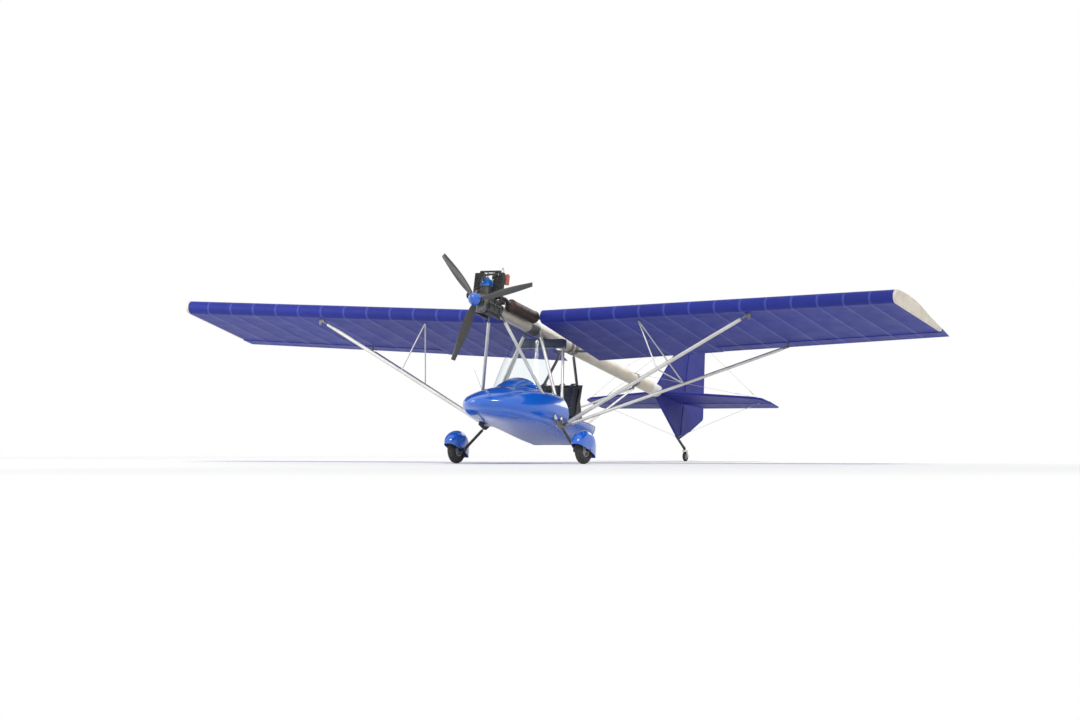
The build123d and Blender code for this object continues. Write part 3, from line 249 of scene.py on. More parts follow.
class Finish:
    """A material under construction, with its Principled shader."""

    def __init__(self, name, colour, roughness, metallic=0.0, **sockets):
        self.material = bpy.data.materials.new(name)
        self.material.use_nodes = True
        self.tree = self.material.node_tree
        self.shader = self.tree.nodes["Principled BSDF"]
        self.shader.inputs["Base Color"].default_value = (*colour, 1)
        self.shader.inputs["Roughness"].default_value = roughness
        self.shader.inputs["Metallic"].default_value = metallic
        for socket, value in sockets.items():
            self.shader.inputs[socket.replace("_", " ")].default_value = value
        self.place = node(self.tree, "ShaderNodeTexCoord", (-1400, 0)).outputs["Object"]
        self.normal = None

    def link(self, source, target):
        self.tree.links.new(source, target)

    def scaled(self, size):
        """Place on the piece, stretched along its axes."""
        mapping = node(self.tree, "ShaderNodeMapping")
        mapping.inputs["Scale"].default_value = size
        self.link(self.place, mapping.inputs["Vector"])
        return mapping.outputs["Vector"]

    def noise(self, scale, detail=3.0, rough=0.55, vector=None):
        made = node(self.tree, "ShaderNodeTexNoise")
        made.inputs["Scale"].default_value = scale
        made.inputs["Detail"].default_value = detail
        made.inputs["Roughness"].default_value = rough
        self.link(vector if vector is not None else self.place, made.inputs["Vector"])
        return made.outputs["Fac"]

    def wave(self, scale, direction):
        """Even bands across one axis, like threads."""
        made = node(self.tree, "ShaderNodeTexWave", wave_type="BANDS", bands_direction=direction)
        made.inputs["Scale"].default_value = scale
        self.link(self.place, made.inputs["Vector"])
        return made.outputs["Fac"]

    def math(self, operation, first, second=0.5):
        made = node(self.tree, "ShaderNodeMath", operation=operation)
        for socket, value in zip(made.inputs, (first, second)):
            if isinstance(value, (int, float)):
                socket.default_value = value
            else:
                self.link(value, socket)
        return made.outputs[0]

    def between(self, value, low, high, start=0.0, end=1.0):
        """Value stretched from low..high to start..end, and held there outside."""
        made = node(self.tree, "ShaderNodeMapRange", clamp=True)
        self.link(value, made.inputs["Value"])
        for socket, number in (("From Min", low), ("From Max", high), ("To Min", start), ("To Max", end)):
            made.inputs[socket].default_value = number
        return made.outputs["Result"]

    def patches(self, scale, detail, low, high, start=0.0, end=1.0, rough=0.55):
        """Noise in patches: one value where it is below low, another where it is above high."""
        return self.between(self.noise(scale, detail, rough), low, high, start, end)

    def mix(self, share, first, second):
        made = node(self.tree, "ShaderNodeMix", data_type="RGBA")
        self.link(share, made.inputs["Factor"])
        for key, value in zip(MIX_COLOURS, (first, second)):
            if isinstance(value, tuple):
                made.inputs[key].default_value = (*value, 1)
            else:
                self.link(value, made.inputs[key])
        return made.outputs[MIX_RESULT]

    def axis(self, letter):
        made = node(self.tree, "ShaderNodeSeparateXYZ")
        self.link(self.place, made.inputs[0])
        return made.outputs[letter]

    def colour(self, source):
        self.link(source, self.shader.inputs["Base Color"])

    def roughness(self, source):
        self.link(source, self.shader.inputs["Roughness"])

    def bump(self, height, distance, strength):
        """Relief on top of any relief given before."""
        made = node(self.tree, "ShaderNodeBump")
        made.inputs["Distance"].default_value = distance
        made.inputs["Strength"].default_value = strength
        self.link(height, made.inputs["Height"])
        if self.normal is not None:
            self.link(self.normal, made.inputs["Normal"])
        self.normal = made.outputs["Normal"]
        self.link(self.normal, self.shader.inputs["Normal"])


print("kit ready, half shade of white is", shade((1, 1, 1), 0.5))

# %% [markdown]
# The wing and tail are covered in a dyed polyester sailcloth. Close to, it is a plain weave with a faint
# shine, and it fades a little where the sun and the ribs work on it. The ribs sit at an even pitch along
# the span, so a lighter band can be drawn by how far a point is from the nearest rib. On the wing that band
# is the rib tape and also a painted highlight, for the light that the raised cloth over each rib catches.

# %% Sailcloth
RIB_START = 0.22
RIB_PITCH = 0.3271
RIB_TAPE_AND_HIGHLIGHT = (0.10, 0.13, 0.50)
TAPE_AND_HIGHLIGHT_EDGES = (0.035, 0.05)
SAIL_THREADS = 900


def sailcloth(name, colour, tape_and_highlight):
    cloth = Finish(name, colour, 0.55, Sheen_Weight=0.03, Sheen_Roughness=0.4, Specular_IOR_Level=0.3)
    body = cloth.mix(cloth.patches(1.3, 2, 0.35, 0.7), colour, shade(colour, 1.18))
    if tape_and_highlight:
        out = cloth.math("ABSOLUTE", cloth.axis("X"))
        bay = cloth.math("DIVIDE", cloth.math("SUBTRACT", out, RIB_START), RIB_PITCH)
        past_rib = cloth.math("FRACT", cloth.math("ADD", bay, 0.5))
        off_rib = cloth.math("ABSOLUTE", cloth.math("SUBTRACT", past_rib, 0.5))
        # Lighter band at each rib: the rib tape, plus a painted highlight where the raised cloth over the rib
        # catches the light.
        body = cloth.mix(cloth.between(off_rib, *TAPE_AND_HIGHLIGHT_EDGES, tape_and_highlight, 0.0), body, RIB_TAPE_AND_HIGHLIGHT)
    cloth.colour(body)
    weave = cloth.math("MULTIPLY", cloth.wave(SAIL_THREADS, "X"), cloth.wave(SAIL_THREADS, "Y"))
    cloth.bump(weave, 0.0001, 0.4)
    cloth.bump(cloth.noise(5, 2), 0.002, 0.12)
    cloth.roughness(cloth.patches(6, 2, 0.3, 0.7, 0.5, 0.6))
    return cloth.material


wing_cloth = sailcloth("wing_cloth", (0.012, 0.022, 0.235), 0.4)
tail_cloth = sailcloth("tail_cloth", (0.009, 0.014, 0.20), 0.0)
print("cloth finishes:", wing_cloth.name, tail_cloth.name)

# %% [markdown]
# The pod, spats and spinner are moulded in gel coat: a deep even blue under a clear gloss. What keeps gel
# coat from looking like plastic is a very slight ripple in its reflections, and a little road dust low
# down.

# %% Moulded and painted finishes
GEL_BLUE = (0.004, 0.13, 0.66)
ROAD_DUST = (0.19, 0.17, 0.13)
DUST_FADE = 0.25
NO_DUST = -1.0


def gel_coat(name, dust_height):
    coat = Finish(name, GEL_BLUE, 0.22, Coat_Weight=0.8, Coat_Roughness=0.04, Specular_IOR_Level=0.55)
    tone = coat.mix(coat.patches(2.2, 2, 0.3, 0.7), GEL_BLUE, shade(GEL_BLUE, 0.88))
    low_down = coat.between(coat.axis("Z"), dust_height - DUST_FADE, dust_height, 0.5, 0.0)
    grime = coat.math("MULTIPLY", low_down, coat.patches(14, 6, 0.42, 0.75, rough=0.7))
    coat.colour(coat.mix(grime, tone, ROAD_DUST))
    coat.roughness(coat.patches(30, 4, 0.3, 0.8, 0.16, 0.3))
    coat.bump(coat.noise(16, 2), 0.0012, 0.22)
    coat.bump(coat.noise(260, 2), 0.00008, 0.3)
    return coat.material


def paint(name, colour, roughness, chip=(0.35, 0.35, 0.36), chips_from=0.72):
    coat = Finish(name, colour, roughness, Coat_Weight=0.15, Coat_Roughness=0.3)
    tone = coat.mix(coat.patches(7, 3, 0.3, 0.7), colour, shade(colour, 0.8))
    worn = coat.patches(120, 6, chips_from, chips_from + 0.03, rough=0.75)
    coat.colour(coat.mix(worn, tone, chip))
    coat.roughness(coat.patches(50, 4, 0.3, 0.7, roughness - 0.06, roughness + 0.1))
    coat.bump(coat.noise(350, 2), 0.0002, 0.3)
    return coat.material


pod_blue = gel_coat("pod_blue", 0.62)
spat_blue = gel_coat("spat_blue", 0.28)
spinner_blue = gel_coat("spinner_blue", NO_DUST)
cap_cream = paint("cap_cream", (0.79, 0.72, 0.60), 0.42, (0.5, 0.45, 0.38), 0.78)
leg_black = paint("leg_black", (0.016, 0.016, 0.017), 0.38)
mount_black = paint("mount_black", (0.02, 0.02, 0.02), 0.45)
head_blue = paint("head_blue", (0.01, 0.16, 0.62), 0.35)
beam_navy = paint("beam_navy", (0.012, 0.03, 0.085), 0.4)
rim_white = paint("rim_white", (0.52, 0.52, 0.5), 0.35)
blade_grey = paint("blade_grey", (0.035, 0.035, 0.038), 0.3, (0.2, 0.2, 0.2), 0.8)
print("finishes so far:", len(bpy.data.materials))

# %% [markdown]
# Bare aluminium tube has fine scratches that run along it, from being drawn and wiped. Noise that is
# stretched hard in one direction gives that grain. Cast metal is dull and pitted instead, and an exhaust is
# mottled by heat.

# %% Metals, rubber and plastics
DULLING = (0.55, 0.53, 0.5)
RUBBER_DUST = (0.075, 0.07, 0.062)


def metal(name, colour, roughness, stretch, grain=0.00012, metallic=1.0):
    skin = Finish(name, colour, roughness, metallic)
    lines = skin.noise(1.0, 4, 0.6, skin.scaled(stretch))
    dulled = skin.math("MULTIPLY", skin.patches(6, 4, 0.35, 0.75), 0.45)
    skin.colour(skin.mix(dulled, colour, tuple(a * b for a, b in zip(colour, DULLING))))
    skin.roughness(skin.between(lines, 0.3, 0.7, roughness - 0.08, roughness + 0.14))
    skin.bump(lines, grain, 0.35)
    return skin.material


def cast(name, colour, metallic=0.6):
    skin = Finish(name, colour, 0.62, metallic)
    skin.colour(skin.mix(skin.patches(11, 5, 0.4, 0.7, rough=0.6), colour, shade(colour, 0.45)))
    skin.roughness(skin.patches(30, 3, 0.3, 0.7, 0.42, 0.75))
    skin.bump(skin.noise(420, 3), 0.0004, 0.4)
    return skin.material


def rubber(name, colour, roughness=0.75):
    skin = Finish(name, colour, roughness)
    skin.colour(skin.mix(skin.patches(25, 5, 0.45, 0.8, rough=0.65), colour, RUBBER_DUST))
    skin.roughness(skin.patches(60, 3, 0.3, 0.7, roughness - 0.1, roughness + 0.12))
    skin.bump(skin.noise(500, 2), 0.0002, 0.4)
    return skin.material


def plastic(name, colour, roughness=0.5):
    skin = Finish(name, colour, roughness)
    skin.colour(skin.mix(skin.patches(8, 3, 0.35, 0.7), colour, shade(colour, 0.85)))
    skin.roughness(skin.patches(45, 3, 0.3, 0.7, roughness - 0.06, roughness + 0.1))
    skin.bump(skin.noise(300, 2), 0.00015, 0.35)
    return skin.material


def exhaust_steel():
    skin = Finish("exhaust_steel", (0.10, 0.062, 0.045), 0.6, 0.75)
    heat = skin.patches(6, 5, 0.3, 0.7, rough=0.6)
    rust = skin.patches(45, 6, 0.5, 0.68, rough=0.7)
    warm = skin.mix(heat, (0.03, 0.024, 0.021), (0.075, 0.055, 0.046))
    skin.colour(skin.mix(rust, warm, (0.085, 0.038, 0.022)))
    skin.roughness(skin.between(rust, 0, 1, 0.48, 0.85))
    skin.bump(skin.noise(180, 4), 0.0004, 0.5)
    return skin.material


tube_bright = metal("tube_bright", (0.70, 0.69, 0.66), 0.46, (3, 3, 900), metallic=0.7)
boom_alloy = metal("boom_alloy", (0.60, 0.55, 0.46), 0.5, (500, 3, 500), metallic=0.4)
dark_alloy = metal("dark_alloy", (0.2, 0.2, 0.21), 0.42, (3, 3, 500))
bracket_steel = metal("bracket_steel", (0.58, 0.57, 0.55), 0.36, (200, 200, 200), 0.0002)
cable_steel = metal("cable_steel", (0.42, 0.42, 0.42), 0.35, (800, 800, 800), 0.0001)
engine_cast = cast("engine_cast", (0.11, 0.11, 0.115))
gearbox_cast = cast("gearbox_cast", (0.3, 0.3, 0.3), 0.8)
radiator_black = cast("radiator_black", (0.018, 0.018, 0.018), 0.1)
exhaust_brown = exhaust_steel()
tyre_rubber = rubber("tyre_rubber", (0.022, 0.022, 0.022))
hose_rubber = rubber("hose_rubber", (0.02, 0.02, 0.02), 0.55)
filter_black = rubber("filter_black", (0.03, 0.03, 0.032), 0.85)
bottle_red = plastic("bottle_red", (0.42, 0.13, 0.10), 0.4)
tank_white = plastic("tank_white", (0.66, 0.63, 0.55), 0.42)
seat_black = plastic("seat_black", (0.035, 0.035, 0.038), 0.55)
panel_black = plastic("panel_black", (0.018, 0.018, 0.019), 0.6)
dial_white = plastic("dial_white", (0.75, 0.75, 0.72))
print("finishes so far:", len(bpy.data.materials))

# %% [markdown]
# Seat covers and belts are woven. Two wave patterns at right angles give the over and under of a weave. The
# screen is a bent sheet of clear plastic, faintly blue and lightly scratched by cleaning.

# %% Seat cloth, webbing and clear sheet


def woven(name, colour, threads):
    cloth = Finish(name, colour, 0.85, Sheen_Weight=0.3, Sheen_Roughness=0.5)
    over_under = cloth.math("MULTIPLY", cloth.wave(threads, "X"), cloth.wave(threads, "Z"))
    weave = cloth.math("ADD", over_under, cloth.wave(threads, "Y"))
    cloth.colour(cloth.mix(cloth.between(weave, 0.2, 1.6), shade(colour, 0.6), colour))
    cloth.bump(weave, 0.0004, 0.5)
    cloth.bump(cloth.noise(12, 3), 0.002, 0.3)
    return cloth.material


def clear_sheet():
    sheet = Finish("clear_sheet", (0.9, 0.95, 0.97), 0.04, Transmission_Weight=1.0, IOR=1.2)
    sheet.roughness(sheet.patches(70, 6, 0.5, 0.8, 0.02, 0.14, rough=0.8))
    sheet.bump(sheet.noise(5, 2), 0.0006, 0.1)
    return sheet.material


seat_cloth = woven("seat_cloth", (0.045, 0.05, 0.075), 260)
belt_webbing = woven("belt_webbing", (0.02, 0.03, 0.09), 420)
seam_thread = plastic("seam_thread", (0.3, 0.3, 0.34), 0.7)
screen_sheet = clear_sheet()
print("finishes in all:", len(bpy.data.materials))

# %% [markdown]
# A piece from the CAD comes with a plain material. Here each one is given the finish of what it is made of
# on the real aircraft, in one table, so that it is easy to see what shares a finish.

# %% Give every rigid piece its finish
finishes = (
    (cap_cream, "wing_caps"),
    (pod_blue, "pod_shell instrument_cowl"),
    (spat_blue, "spat_port spat_starboard"),
    (spinner_blue, "spinner"),
    (blade_grey, "propeller"),
    (boom_alloy, "tail_boom"),
    (tube_bright, "lift_struts_port lift_struts_starboard jury_struts cabane_tubes door_posts cross_tube"),
    (tube_bright, "rear_frame tail_braces"),
    (dark_alloy, "boom_clamps rear_pylon_tubes strut_brackets strut_plates rudder_pedals"),
    (beam_navy, "roof_beam"),
    (leg_black, "tail_leg gear_leg_port gear_leg_starboard control_stick"),
    (bracket_steel, "tailwheel_fork"),
    (rim_white, "wheel_rim_port wheel_rim_starboard tailwheel_hub"),
    (tyre_rubber, "tyre_port tyre_starboard tailwheel_tyre"),
    (mount_black, "engine_mount"),
    (engine_cast, "crankcase cylinder_block"),
    (head_blue, "cylinder_head"),
    (gearbox_cast, "gearbox carburettors"),
    (radiator_black, "radiators"),
    (hose_rubber, "coolant_hose"),
    (bottle_red, "coolant_bottle"),
    (exhaust_brown, "exhaust"),
    (filter_black, "air_filters"),
    (seat_black, "seats seat_bench"),
    (tank_white, "fuel_tank"),
    (panel_black, "instrument_panel"),
    (screen_sheet, "windscreen"),
    (tail_cloth, "fin tailplane rudder elevator"),
    (wing_cloth, "wing_port wing_starboard aileron_port aileron_starboard"),
    (seat_cloth, "seat_cushions back_cushions"),
)
finished = set()
for finish, names in finishes:
    for name in names.split():
        nodes[name].data.materials.clear()
        nodes[name].data.materials.append(finish)
        finished.add(name)
print("finished", len(finished), "of", len(nodes), "nodes; without:", sorted(set(nodes) - finished))

# %% [markdown]
# Every loose piece is drawn in a bmesh and then filed the same way: its doubles merged, its faces turned
# outwards, its finish given, sharp edges kept sharp, and the body it moves with named.

# %% Mesh helpers
SHARP_ANGLE = 35.0
SAME_PLACE = 1e-6


def file_piece(name, mesh, finish, body, smooth=True, sharp=SHARP_ANGLE):
    """Make an object of a mesh, with its finish and the body it rides on."""
    mesh.materials.clear()
    mesh.materials.append(finish)
    if smooth:
        mesh.shade_smooth()
        mesh.set_sharp_from_angle(angle=math.radians(sharp))
    made = place_object(name, mesh)
    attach(made, body)
    return made


def from_bmesh(name, bm, finish, body, smooth=True, sharp=SHARP_ANGLE):
    bmesh.ops.remove_doubles(bm, verts=bm.verts, dist=SAME_PLACE)
    bmesh.ops.recalc_face_normals(bm, faces=bm.faces)
    mesh = bpy.data.meshes.new(name)
    bm.to_mesh(mesh)
    bm.free()
    print(name, len(mesh.polygons), "faces")
    return file_piece(name, mesh, finish, body, smooth, sharp)


print("pieces are smooth up to", SHARP_ANGLE, "degrees")

# %% [markdown]
# Most small pieces are one of three shapes. A tube is a ring of points carried along a path without letting
# it twist, a turned piece is a profile swept round an axis, and a block is a box. All are closed, and their
# faces share points, so that each is one solid skin.

# %% Tubes, turned pieces and blocks
AXIS_RADIUS = 1e-5


def ring(centre, side, up, radius, sides):
    """Points of a circle, in the plane of two directions."""
    turns = [2 * math.pi * k / sides for k in range(sides)]
    return [centre + (side * math.cos(turn) + up * math.sin(turn)) * radius for turn in turns]


def add_rings(bm, rings, loop=False):
    """Skin a list of rings of points, each ring the same length, capped at both ends or closed on itself."""
    rows = [[bm.verts.new(point) for point in points] for points in rings]
    following = rows[1:] + rows[:1] if loop else rows[1:]
    for first, second in zip(rows, following):
        for i in range(len(first)):
            j = (i + 1) % len(first)
            bm.faces.new((first[i], first[j], second[j], second[i]))
    if not loop:
        bm.faces.new(rows[0])
        bm.faces.new(reversed(rows[-1]))


def smooth_path(points, steps=8):
    """Points on a soft curve through the given ones."""
    points = [Vector(p) for p in points]
    padded = [points[0] * 2 - points[1]] + points + [points[-1] * 2 - points[-2]]
    path = []
    for i in range(1, len(padded) - 2):
        a, b, c, d = padded[i - 1:i + 3]
        for step in range(steps):
            t = step / steps
            path.append(0.5 * (2 * b + (c - a) * t + (2 * a - 5 * b + 4 * c - d) * t * t
                               + (3 * b - a - 3 * c + d) * t ** 3))
    path.append(points[-1])
    return path


def add_tube(bm, points, radius, sides=12):
    """Round tube along a path of points, of one radius or of one for each point."""
    points = [Vector(p) for p in points]
    radii = radius if isinstance(radius, (list, tuple)) else [radius] * len(points)
    rings = []
    side = None
    for i, point in enumerate(points):
        ahead = points[min(i + 1, len(points) - 1)] - points[max(i - 1, 0)]
        ahead.normalize()
        if side is None:
            side = ahead.orthogonal().normalized()
        side = (side - ahead * side.dot(ahead)).normalized()
        rings.append(ring(point, side, ahead.cross(side), radii[i], sides))
    add_rings(bm, rings)


def add_block(bm, low, high, place):
    """Box between two corners, put in place by a matrix."""
    corners = [bm.verts.new(place @ Vector((x, y, z)))
               for x in (low[0], high[0]) for y in (low[1], high[1]) for z in (low[2], high[2])]
    for face in ((0, 1, 3, 2), (4, 6, 7, 5), (0, 4, 5, 1), (2, 3, 7, 6), (0, 2, 6, 4), (1, 5, 7, 3)):
        bm.faces.new([corners[i] for i in face])


def add_turned(bm, profile, centre, axis, sides=32):
    """Turned shape: profile of (radius, distance along the axis), a hoop if it ends where it starts."""
    axis = Vector(axis).normalized()
    side = axis.orthogonal().normalized()
    up = axis.cross(side)
    rings = [ring(Vector(centre) + axis * along, side, up, max(radius, AXIS_RADIUS), sides)
             for radius, along in profile]
    hoop = profile[0] == profile[-1]
    add_rings(bm, rings[:-1] if hoop else rings, loop=hoop)


print("shapes ready")

# %% [markdown]
# Small hardware comes in the hundreds: screws, rivets, bolts, fins of a radiator, stitches. One geometry
# node tree can set a small shape on every point of a carrier mesh. Each point carries two arrows as
# attributes, one for where the shape's top faces and one for where its length runs. The tree ends in
# Realize Instances and Set Material, and its result is baked to a plain mesh, because an exported model
# keeps no instances.

# %% A tree that sets a small shape on every point
HEAD_TAPER = 0.72
SHAPES = {
    "head": (("Head Radius", 0.004), ("Head Height", 0.002)),
    "block": (("Length", 0.01), ("Width", 0.002), ("Height", 0.001)),
}


def hardware_tree(shape):
    """Geometry nodes with named sizes: a many-sided head, or a block."""
    tree = bpy.data.node_groups.new(shape + "_on_points", "GeometryNodeTree")
    face = tree.interface
    face.new_socket("Geometry", in_out="INPUT", socket_type="NodeSocketGeometry")
    for name, value in SHAPES[shape]:
        face.new_socket(name, in_out="INPUT", socket_type="NodeSocketFloat").default_value = value
    face.new_socket("Sides", in_out="INPUT", socket_type="NodeSocketInt").default_value = 10
    face.new_socket("Finish", in_out="INPUT", socket_type="NodeSocketMaterial")
    face.new_socket("Geometry", in_out="OUTPUT", socket_type="NodeSocketGeometry")
    given = node(tree, "NodeGroupInput", (-900, 0))
    out = node(tree, "NodeGroupOutput", (900, 0))
    points = node(tree, "GeometryNodeMeshToPoints", (-600, 200))
    tree.links.new(given.outputs["Geometry"], points.inputs["Mesh"])
    if shape == "head":
        solid = node(tree, "GeometryNodeMeshCone", (-600, -100))
        tree.links.new(given.outputs["Sides"], solid.inputs["Vertices"])
        tree.links.new(given.outputs["Head Radius"], solid.inputs["Radius Bottom"])
        tree.links.new(given.outputs["Head Height"], solid.inputs["Depth"])
        narrow = node(tree, "ShaderNodeMath", (-750, -300), operation="MULTIPLY")
        narrow.inputs[1].default_value = HEAD_TAPER
        tree.links.new(given.outputs["Head Radius"], narrow.inputs[0])
        tree.links.new(narrow.outputs[0], solid.inputs["Radius Top"])
    else:
        solid = node(tree, "GeometryNodeMeshCube", (-600, -100))
        size = node(tree, "ShaderNodeCombineXYZ", (-750, -300))
        for name, letter in (("Length", "X"), ("Width", "Y"), ("Height", "Z")):
            tree.links.new(given.outputs[name], size.inputs[letter])
        tree.links.new(size.outputs[0], solid.inputs["Size"])
    turn = None
    for name, letter, pivot in (("faces", "Z", "AUTO"), ("runs", "X", "Z")):
        arrow = node(tree, "GeometryNodeInputNamedAttribute", (-600, -400), data_type="FLOAT_VECTOR")
        arrow.inputs["Name"].default_value = name
        align = node(tree, "FunctionNodeAlignRotationToVector", (-300, -300), axis=letter, pivot_axis=pivot)
        tree.links.new(arrow.outputs["Attribute"], align.inputs["Vector"])
        if turn is not None:
            tree.links.new(turn, align.inputs["Rotation"])
        turn = align.outputs["Rotation"]
    copies = node(tree, "GeometryNodeInstanceOnPoints", (0, 0))
    tree.links.new(points.outputs["Points"], copies.inputs["Points"])
    tree.links.new(solid.outputs["Mesh"], copies.inputs["Instance"])
    tree.links.new(turn, copies.inputs["Rotation"])
    real = node(tree, "GeometryNodeRealizeInstances", (300, 0))
    tree.links.new(copies.outputs["Instances"], real.inputs["Geometry"])
    coated = node(tree, "GeometryNodeSetMaterial", (600, 0))
    tree.links.new(real.outputs["Geometry"], coated.inputs["Geometry"])
    tree.links.new(given.outputs["Finish"], coated.inputs["Material"])
    tree.links.new(coated.outputs["Geometry"], out.inputs["Geometry"])
    return tree


head_tree = hardware_tree("head")
block_tree = hardware_tree("block")
print("trees:", head_tree.name, block_tree.name)


def baked(thing):
    """Plain mesh of an object as its modifiers leave it."""
    bpy.context.view_layer.update()
    return bpy.data.meshes.new_from_object(thing.evaluated_get(bpy.context.evaluated_depsgraph_get()))


def set_on_points(name, tree, spots, finish, body, **sizes):
    """Hardware on a list of (place, where its top faces, where its length runs), as one plain mesh."""
    carrier = bpy.data.meshes.new(name)
    carrier.from_pydata([tuple(place) for place, _, _ in spots], [], [])
    for key, column in (("faces", 1), ("runs", 2)):
        attribute = carrier.attributes.new(key, "FLOAT_VECTOR", "POINT")
        for i, spot in enumerate(spots):
            attribute.data[i].vector = Vector(spot[column])
    made = place_object(name, carrier)
    modifier = made.modifiers.new("hardware", "NODES")
    modifier.node_group = tree
    sockets = {item.name: item.identifier for item in tree.interface.items_tree if item.in_out == "INPUT"}
    modifier[sockets["Finish"]] = finish
    for key, value in sizes.items():
        modifier[sockets[key.replace("_", " ")]] = value
    plain = baked(made)
    made.modifiers.clear()
    made.data = plain
    bpy.data.meshes.remove(carrier)
    plain.name = name
    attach(made, body)
    print(name, len(spots), "set,", len(plain.polygons), "faces")


# %% [markdown]
# Sailcloth is laced over tubes and ribs, so between them it pulls in a little, like a soap film, and the
# tubes show as soft ridges. The CAD surfaces are smooth solids. Each cover here is a copy of its node, cut
# into a fine grid, and then pulled in by a distance that grows with how far a point is from the nearest
# tube, always against its normal.

# %% Cloth covers
HALF_SPAN = 4.8
TIP_CAP = 0.034
WING_CHORD = 1.548
ROOT_EDGE_Z = 0.218
TIP_EDGE_Z = 0.394
ROOT_INCIDENCE = math.radians(9.95)
TIP_INCIDENCE = math.radians(7.2)
AILERON_START = 1.9
HINGE_CHORD = 1.345
WING_SAG = 0.0075
AILERON_SAG = 0.003
TAIL_SAG = 0.006
HINGED_TAIL_SAG = 0.004
WING_EASE = 0.05
AILERON_EASE = 0.04
TAIL_EASE = 0.05
WELD_WITHIN = 2e-5
FLAT_ANGLE = math.radians(0.6)


def wing_frame(x):
    """Matrix of the wing's section at a station: x out, chord aft, thickness up, in the parked frame."""
    share = (abs(x) - RIB_START) / (HALF_SPAN - RIB_START)
    edge_z = ROOT_EDGE_Z + (TIP_EDGE_Z - ROOT_EDGE_Z) * share
    incidence = ROOT_INCIDENCE + (TIP_INCIDENCE - ROOT_INCIDENCE) * share
    return park @ Matrix.Translation((x, 0, edge_z)) @ Matrix.Rotation(-incidence, 4, "X")


def distance_to(lines, a, b):
    """Distance of a point from the nearest of a list of straight lines (a1, b1, a2, b2)."""
    best = math.inf
    for a1, b1, a2, b2 in lines:
        da, db = a2 - a1, b2 - b1
        t = max(0.0, min(1.0, ((a - a1) * da + (b - b1) * db) / (da * da + db * db)))
        best = min(best, math.hypot(a - a1 - da * t, b - b1 - db * t))
    return best


def cover(source, body, cuts, measure, sag, ease, finish):
    """Copy of a node, cut and pulled in. measure gives a point's distance from a tube and the way in."""
    bm = bmesh.new()
    bm.from_mesh(nodes[source].data)
    bmesh.ops.remove_doubles(bm, verts=bm.verts, dist=WELD_WITHIN)
    bmesh.ops.dissolve_limit(bm, angle_limit=FLAT_ANGLE, verts=bm.verts, edges=bm.edges)
    for place, way in cuts:
        bmesh.ops.bisect_plane(bm, geom=bm.verts[:] + bm.edges[:] + bm.faces[:], dist=1e-5,
                               plane_co=place, plane_no=way)
    bmesh.ops.triangulate(bm, faces=[face for face in bm.faces if len(face.verts) > 4])
    bm.normal_update()
    moves = []
    for vertex in bm.verts:
        distance, inward = measure(vertex.co)
        if distance > 0:
            depth = sag * (1 - math.exp(-distance / ease))
            moves.append((vertex, -inward * vertex.normal.dot(inward) * depth))
    for vertex, move in moves:
        vertex.co += move
    mesh = bpy.data.meshes.new(source + "_cover")
    bm.to_mesh(mesh)
    bm.free()
    made = file_piece(source + "_cover", mesh, finish, body, sharp=28.0)
    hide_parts(source)
    print(source, "cover has", len(mesh.polygons), "faces")


print("wing sags by up to", WING_SAG * 1000, "mm, tail by", TAIL_SAG * 1000, "mm")

# %% [markdown]
# On the wing the cloth is held at the ribs, the nose tube and the trailing edge, so a point's distance from
# a tube is the least of three. The grid is finer near the ribs, where the cloth turns, than in the middle
# of a bay. Ailerons have narrower hems, and their cloth is tighter.

# %% Wing and aileron covers
RIB_HALF = 0.004
NOSE_TUBE = 0.075
HEM = 0.02
AILERON_HEM = 0.012
AILERON_TIP = 0.008
MID_SPAN = 2.5
rib_count = round((HALF_SPAN - TIP_CAP - RIB_START) / RIB_PITCH)
ribs = [RIB_START + RIB_PITCH * i for i in range(rib_count + 1)]
bay_shares = (0.0, 0.05, 0.15, 0.32, 0.5, 0.68, 0.85, 0.95)
chord_cuts = (0.05, 0.09, 0.14, 0.2, 0.3, 0.45, 0.65, 0.85, 1.05, 1.2, 1.3, 1.38, 1.46, 1.52)
AILERON_CUTS = 4


def fixed_chord(out):
    """Chord of the fixed wing at a distance out along the span: shorter ahead of the aileron."""
    return HINGE_CHORD if out > AILERON_START else WING_CHORD


def section_measure(end_rib, cloth_edges):
    """Measure for a wing or aileron cover. cloth_edges gives how far a point is from front and rear."""
    def measure(point):
        out = abs(point.x)
        section = wing_frame(point.x)
        chord = (section.inverted() @ point).y
        rib = min(abs(out - station) for station in ribs + [end_rib])
        return min(rib - RIB_HALF, *cloth_edges(out, chord)), section.to_3x3() @ Vector((0, 0, 1))
    return measure


wing_measure = section_measure(
    HALF_SPAN - TIP_CAP, lambda out, chord: (chord - NOSE_TUBE, fixed_chord(out) - chord - HEM))
aileron_measure = section_measure(
    HALF_SPAN - AILERON_TIP, lambda out, chord: (chord - HINGE_CHORD - HEM, WING_CHORD - chord - AILERON_HEM))
for side, word in SIDES:
    span_cuts = [(Vector((side * (station + RIB_PITCH * share), 0, 0)), across)
                 for station in ribs for share in bay_shares]
    outer_cuts = [cut for cut in span_cuts if abs(cut[0].x) > AILERON_START]
    middle = wing_frame(side * MID_SPAN)
    chordwise = middle.to_3x3() @ Vector((0, 1, 0))
    chord_planes = [(middle @ Vector((0, chord, 0)), chordwise) for chord in chord_cuts]
    cover("wing_" + word, "airframe", span_cuts + chord_planes, wing_measure, WING_SAG, WING_EASE, wing_cloth)
    cover("aileron_" + word, "aileron_" + word, outer_cuts + chord_planes[-AILERON_CUTS:], aileron_measure,
          AILERON_SAG, AILERON_EASE, wing_cloth)

# %% [markdown]
# The tail's surfaces are flat tube frames under cloth. Their outlines and inner tubes are listed in the
# boom's frame, and the same cover is stretched over them. The rudder and elevator ride on their own hinges.

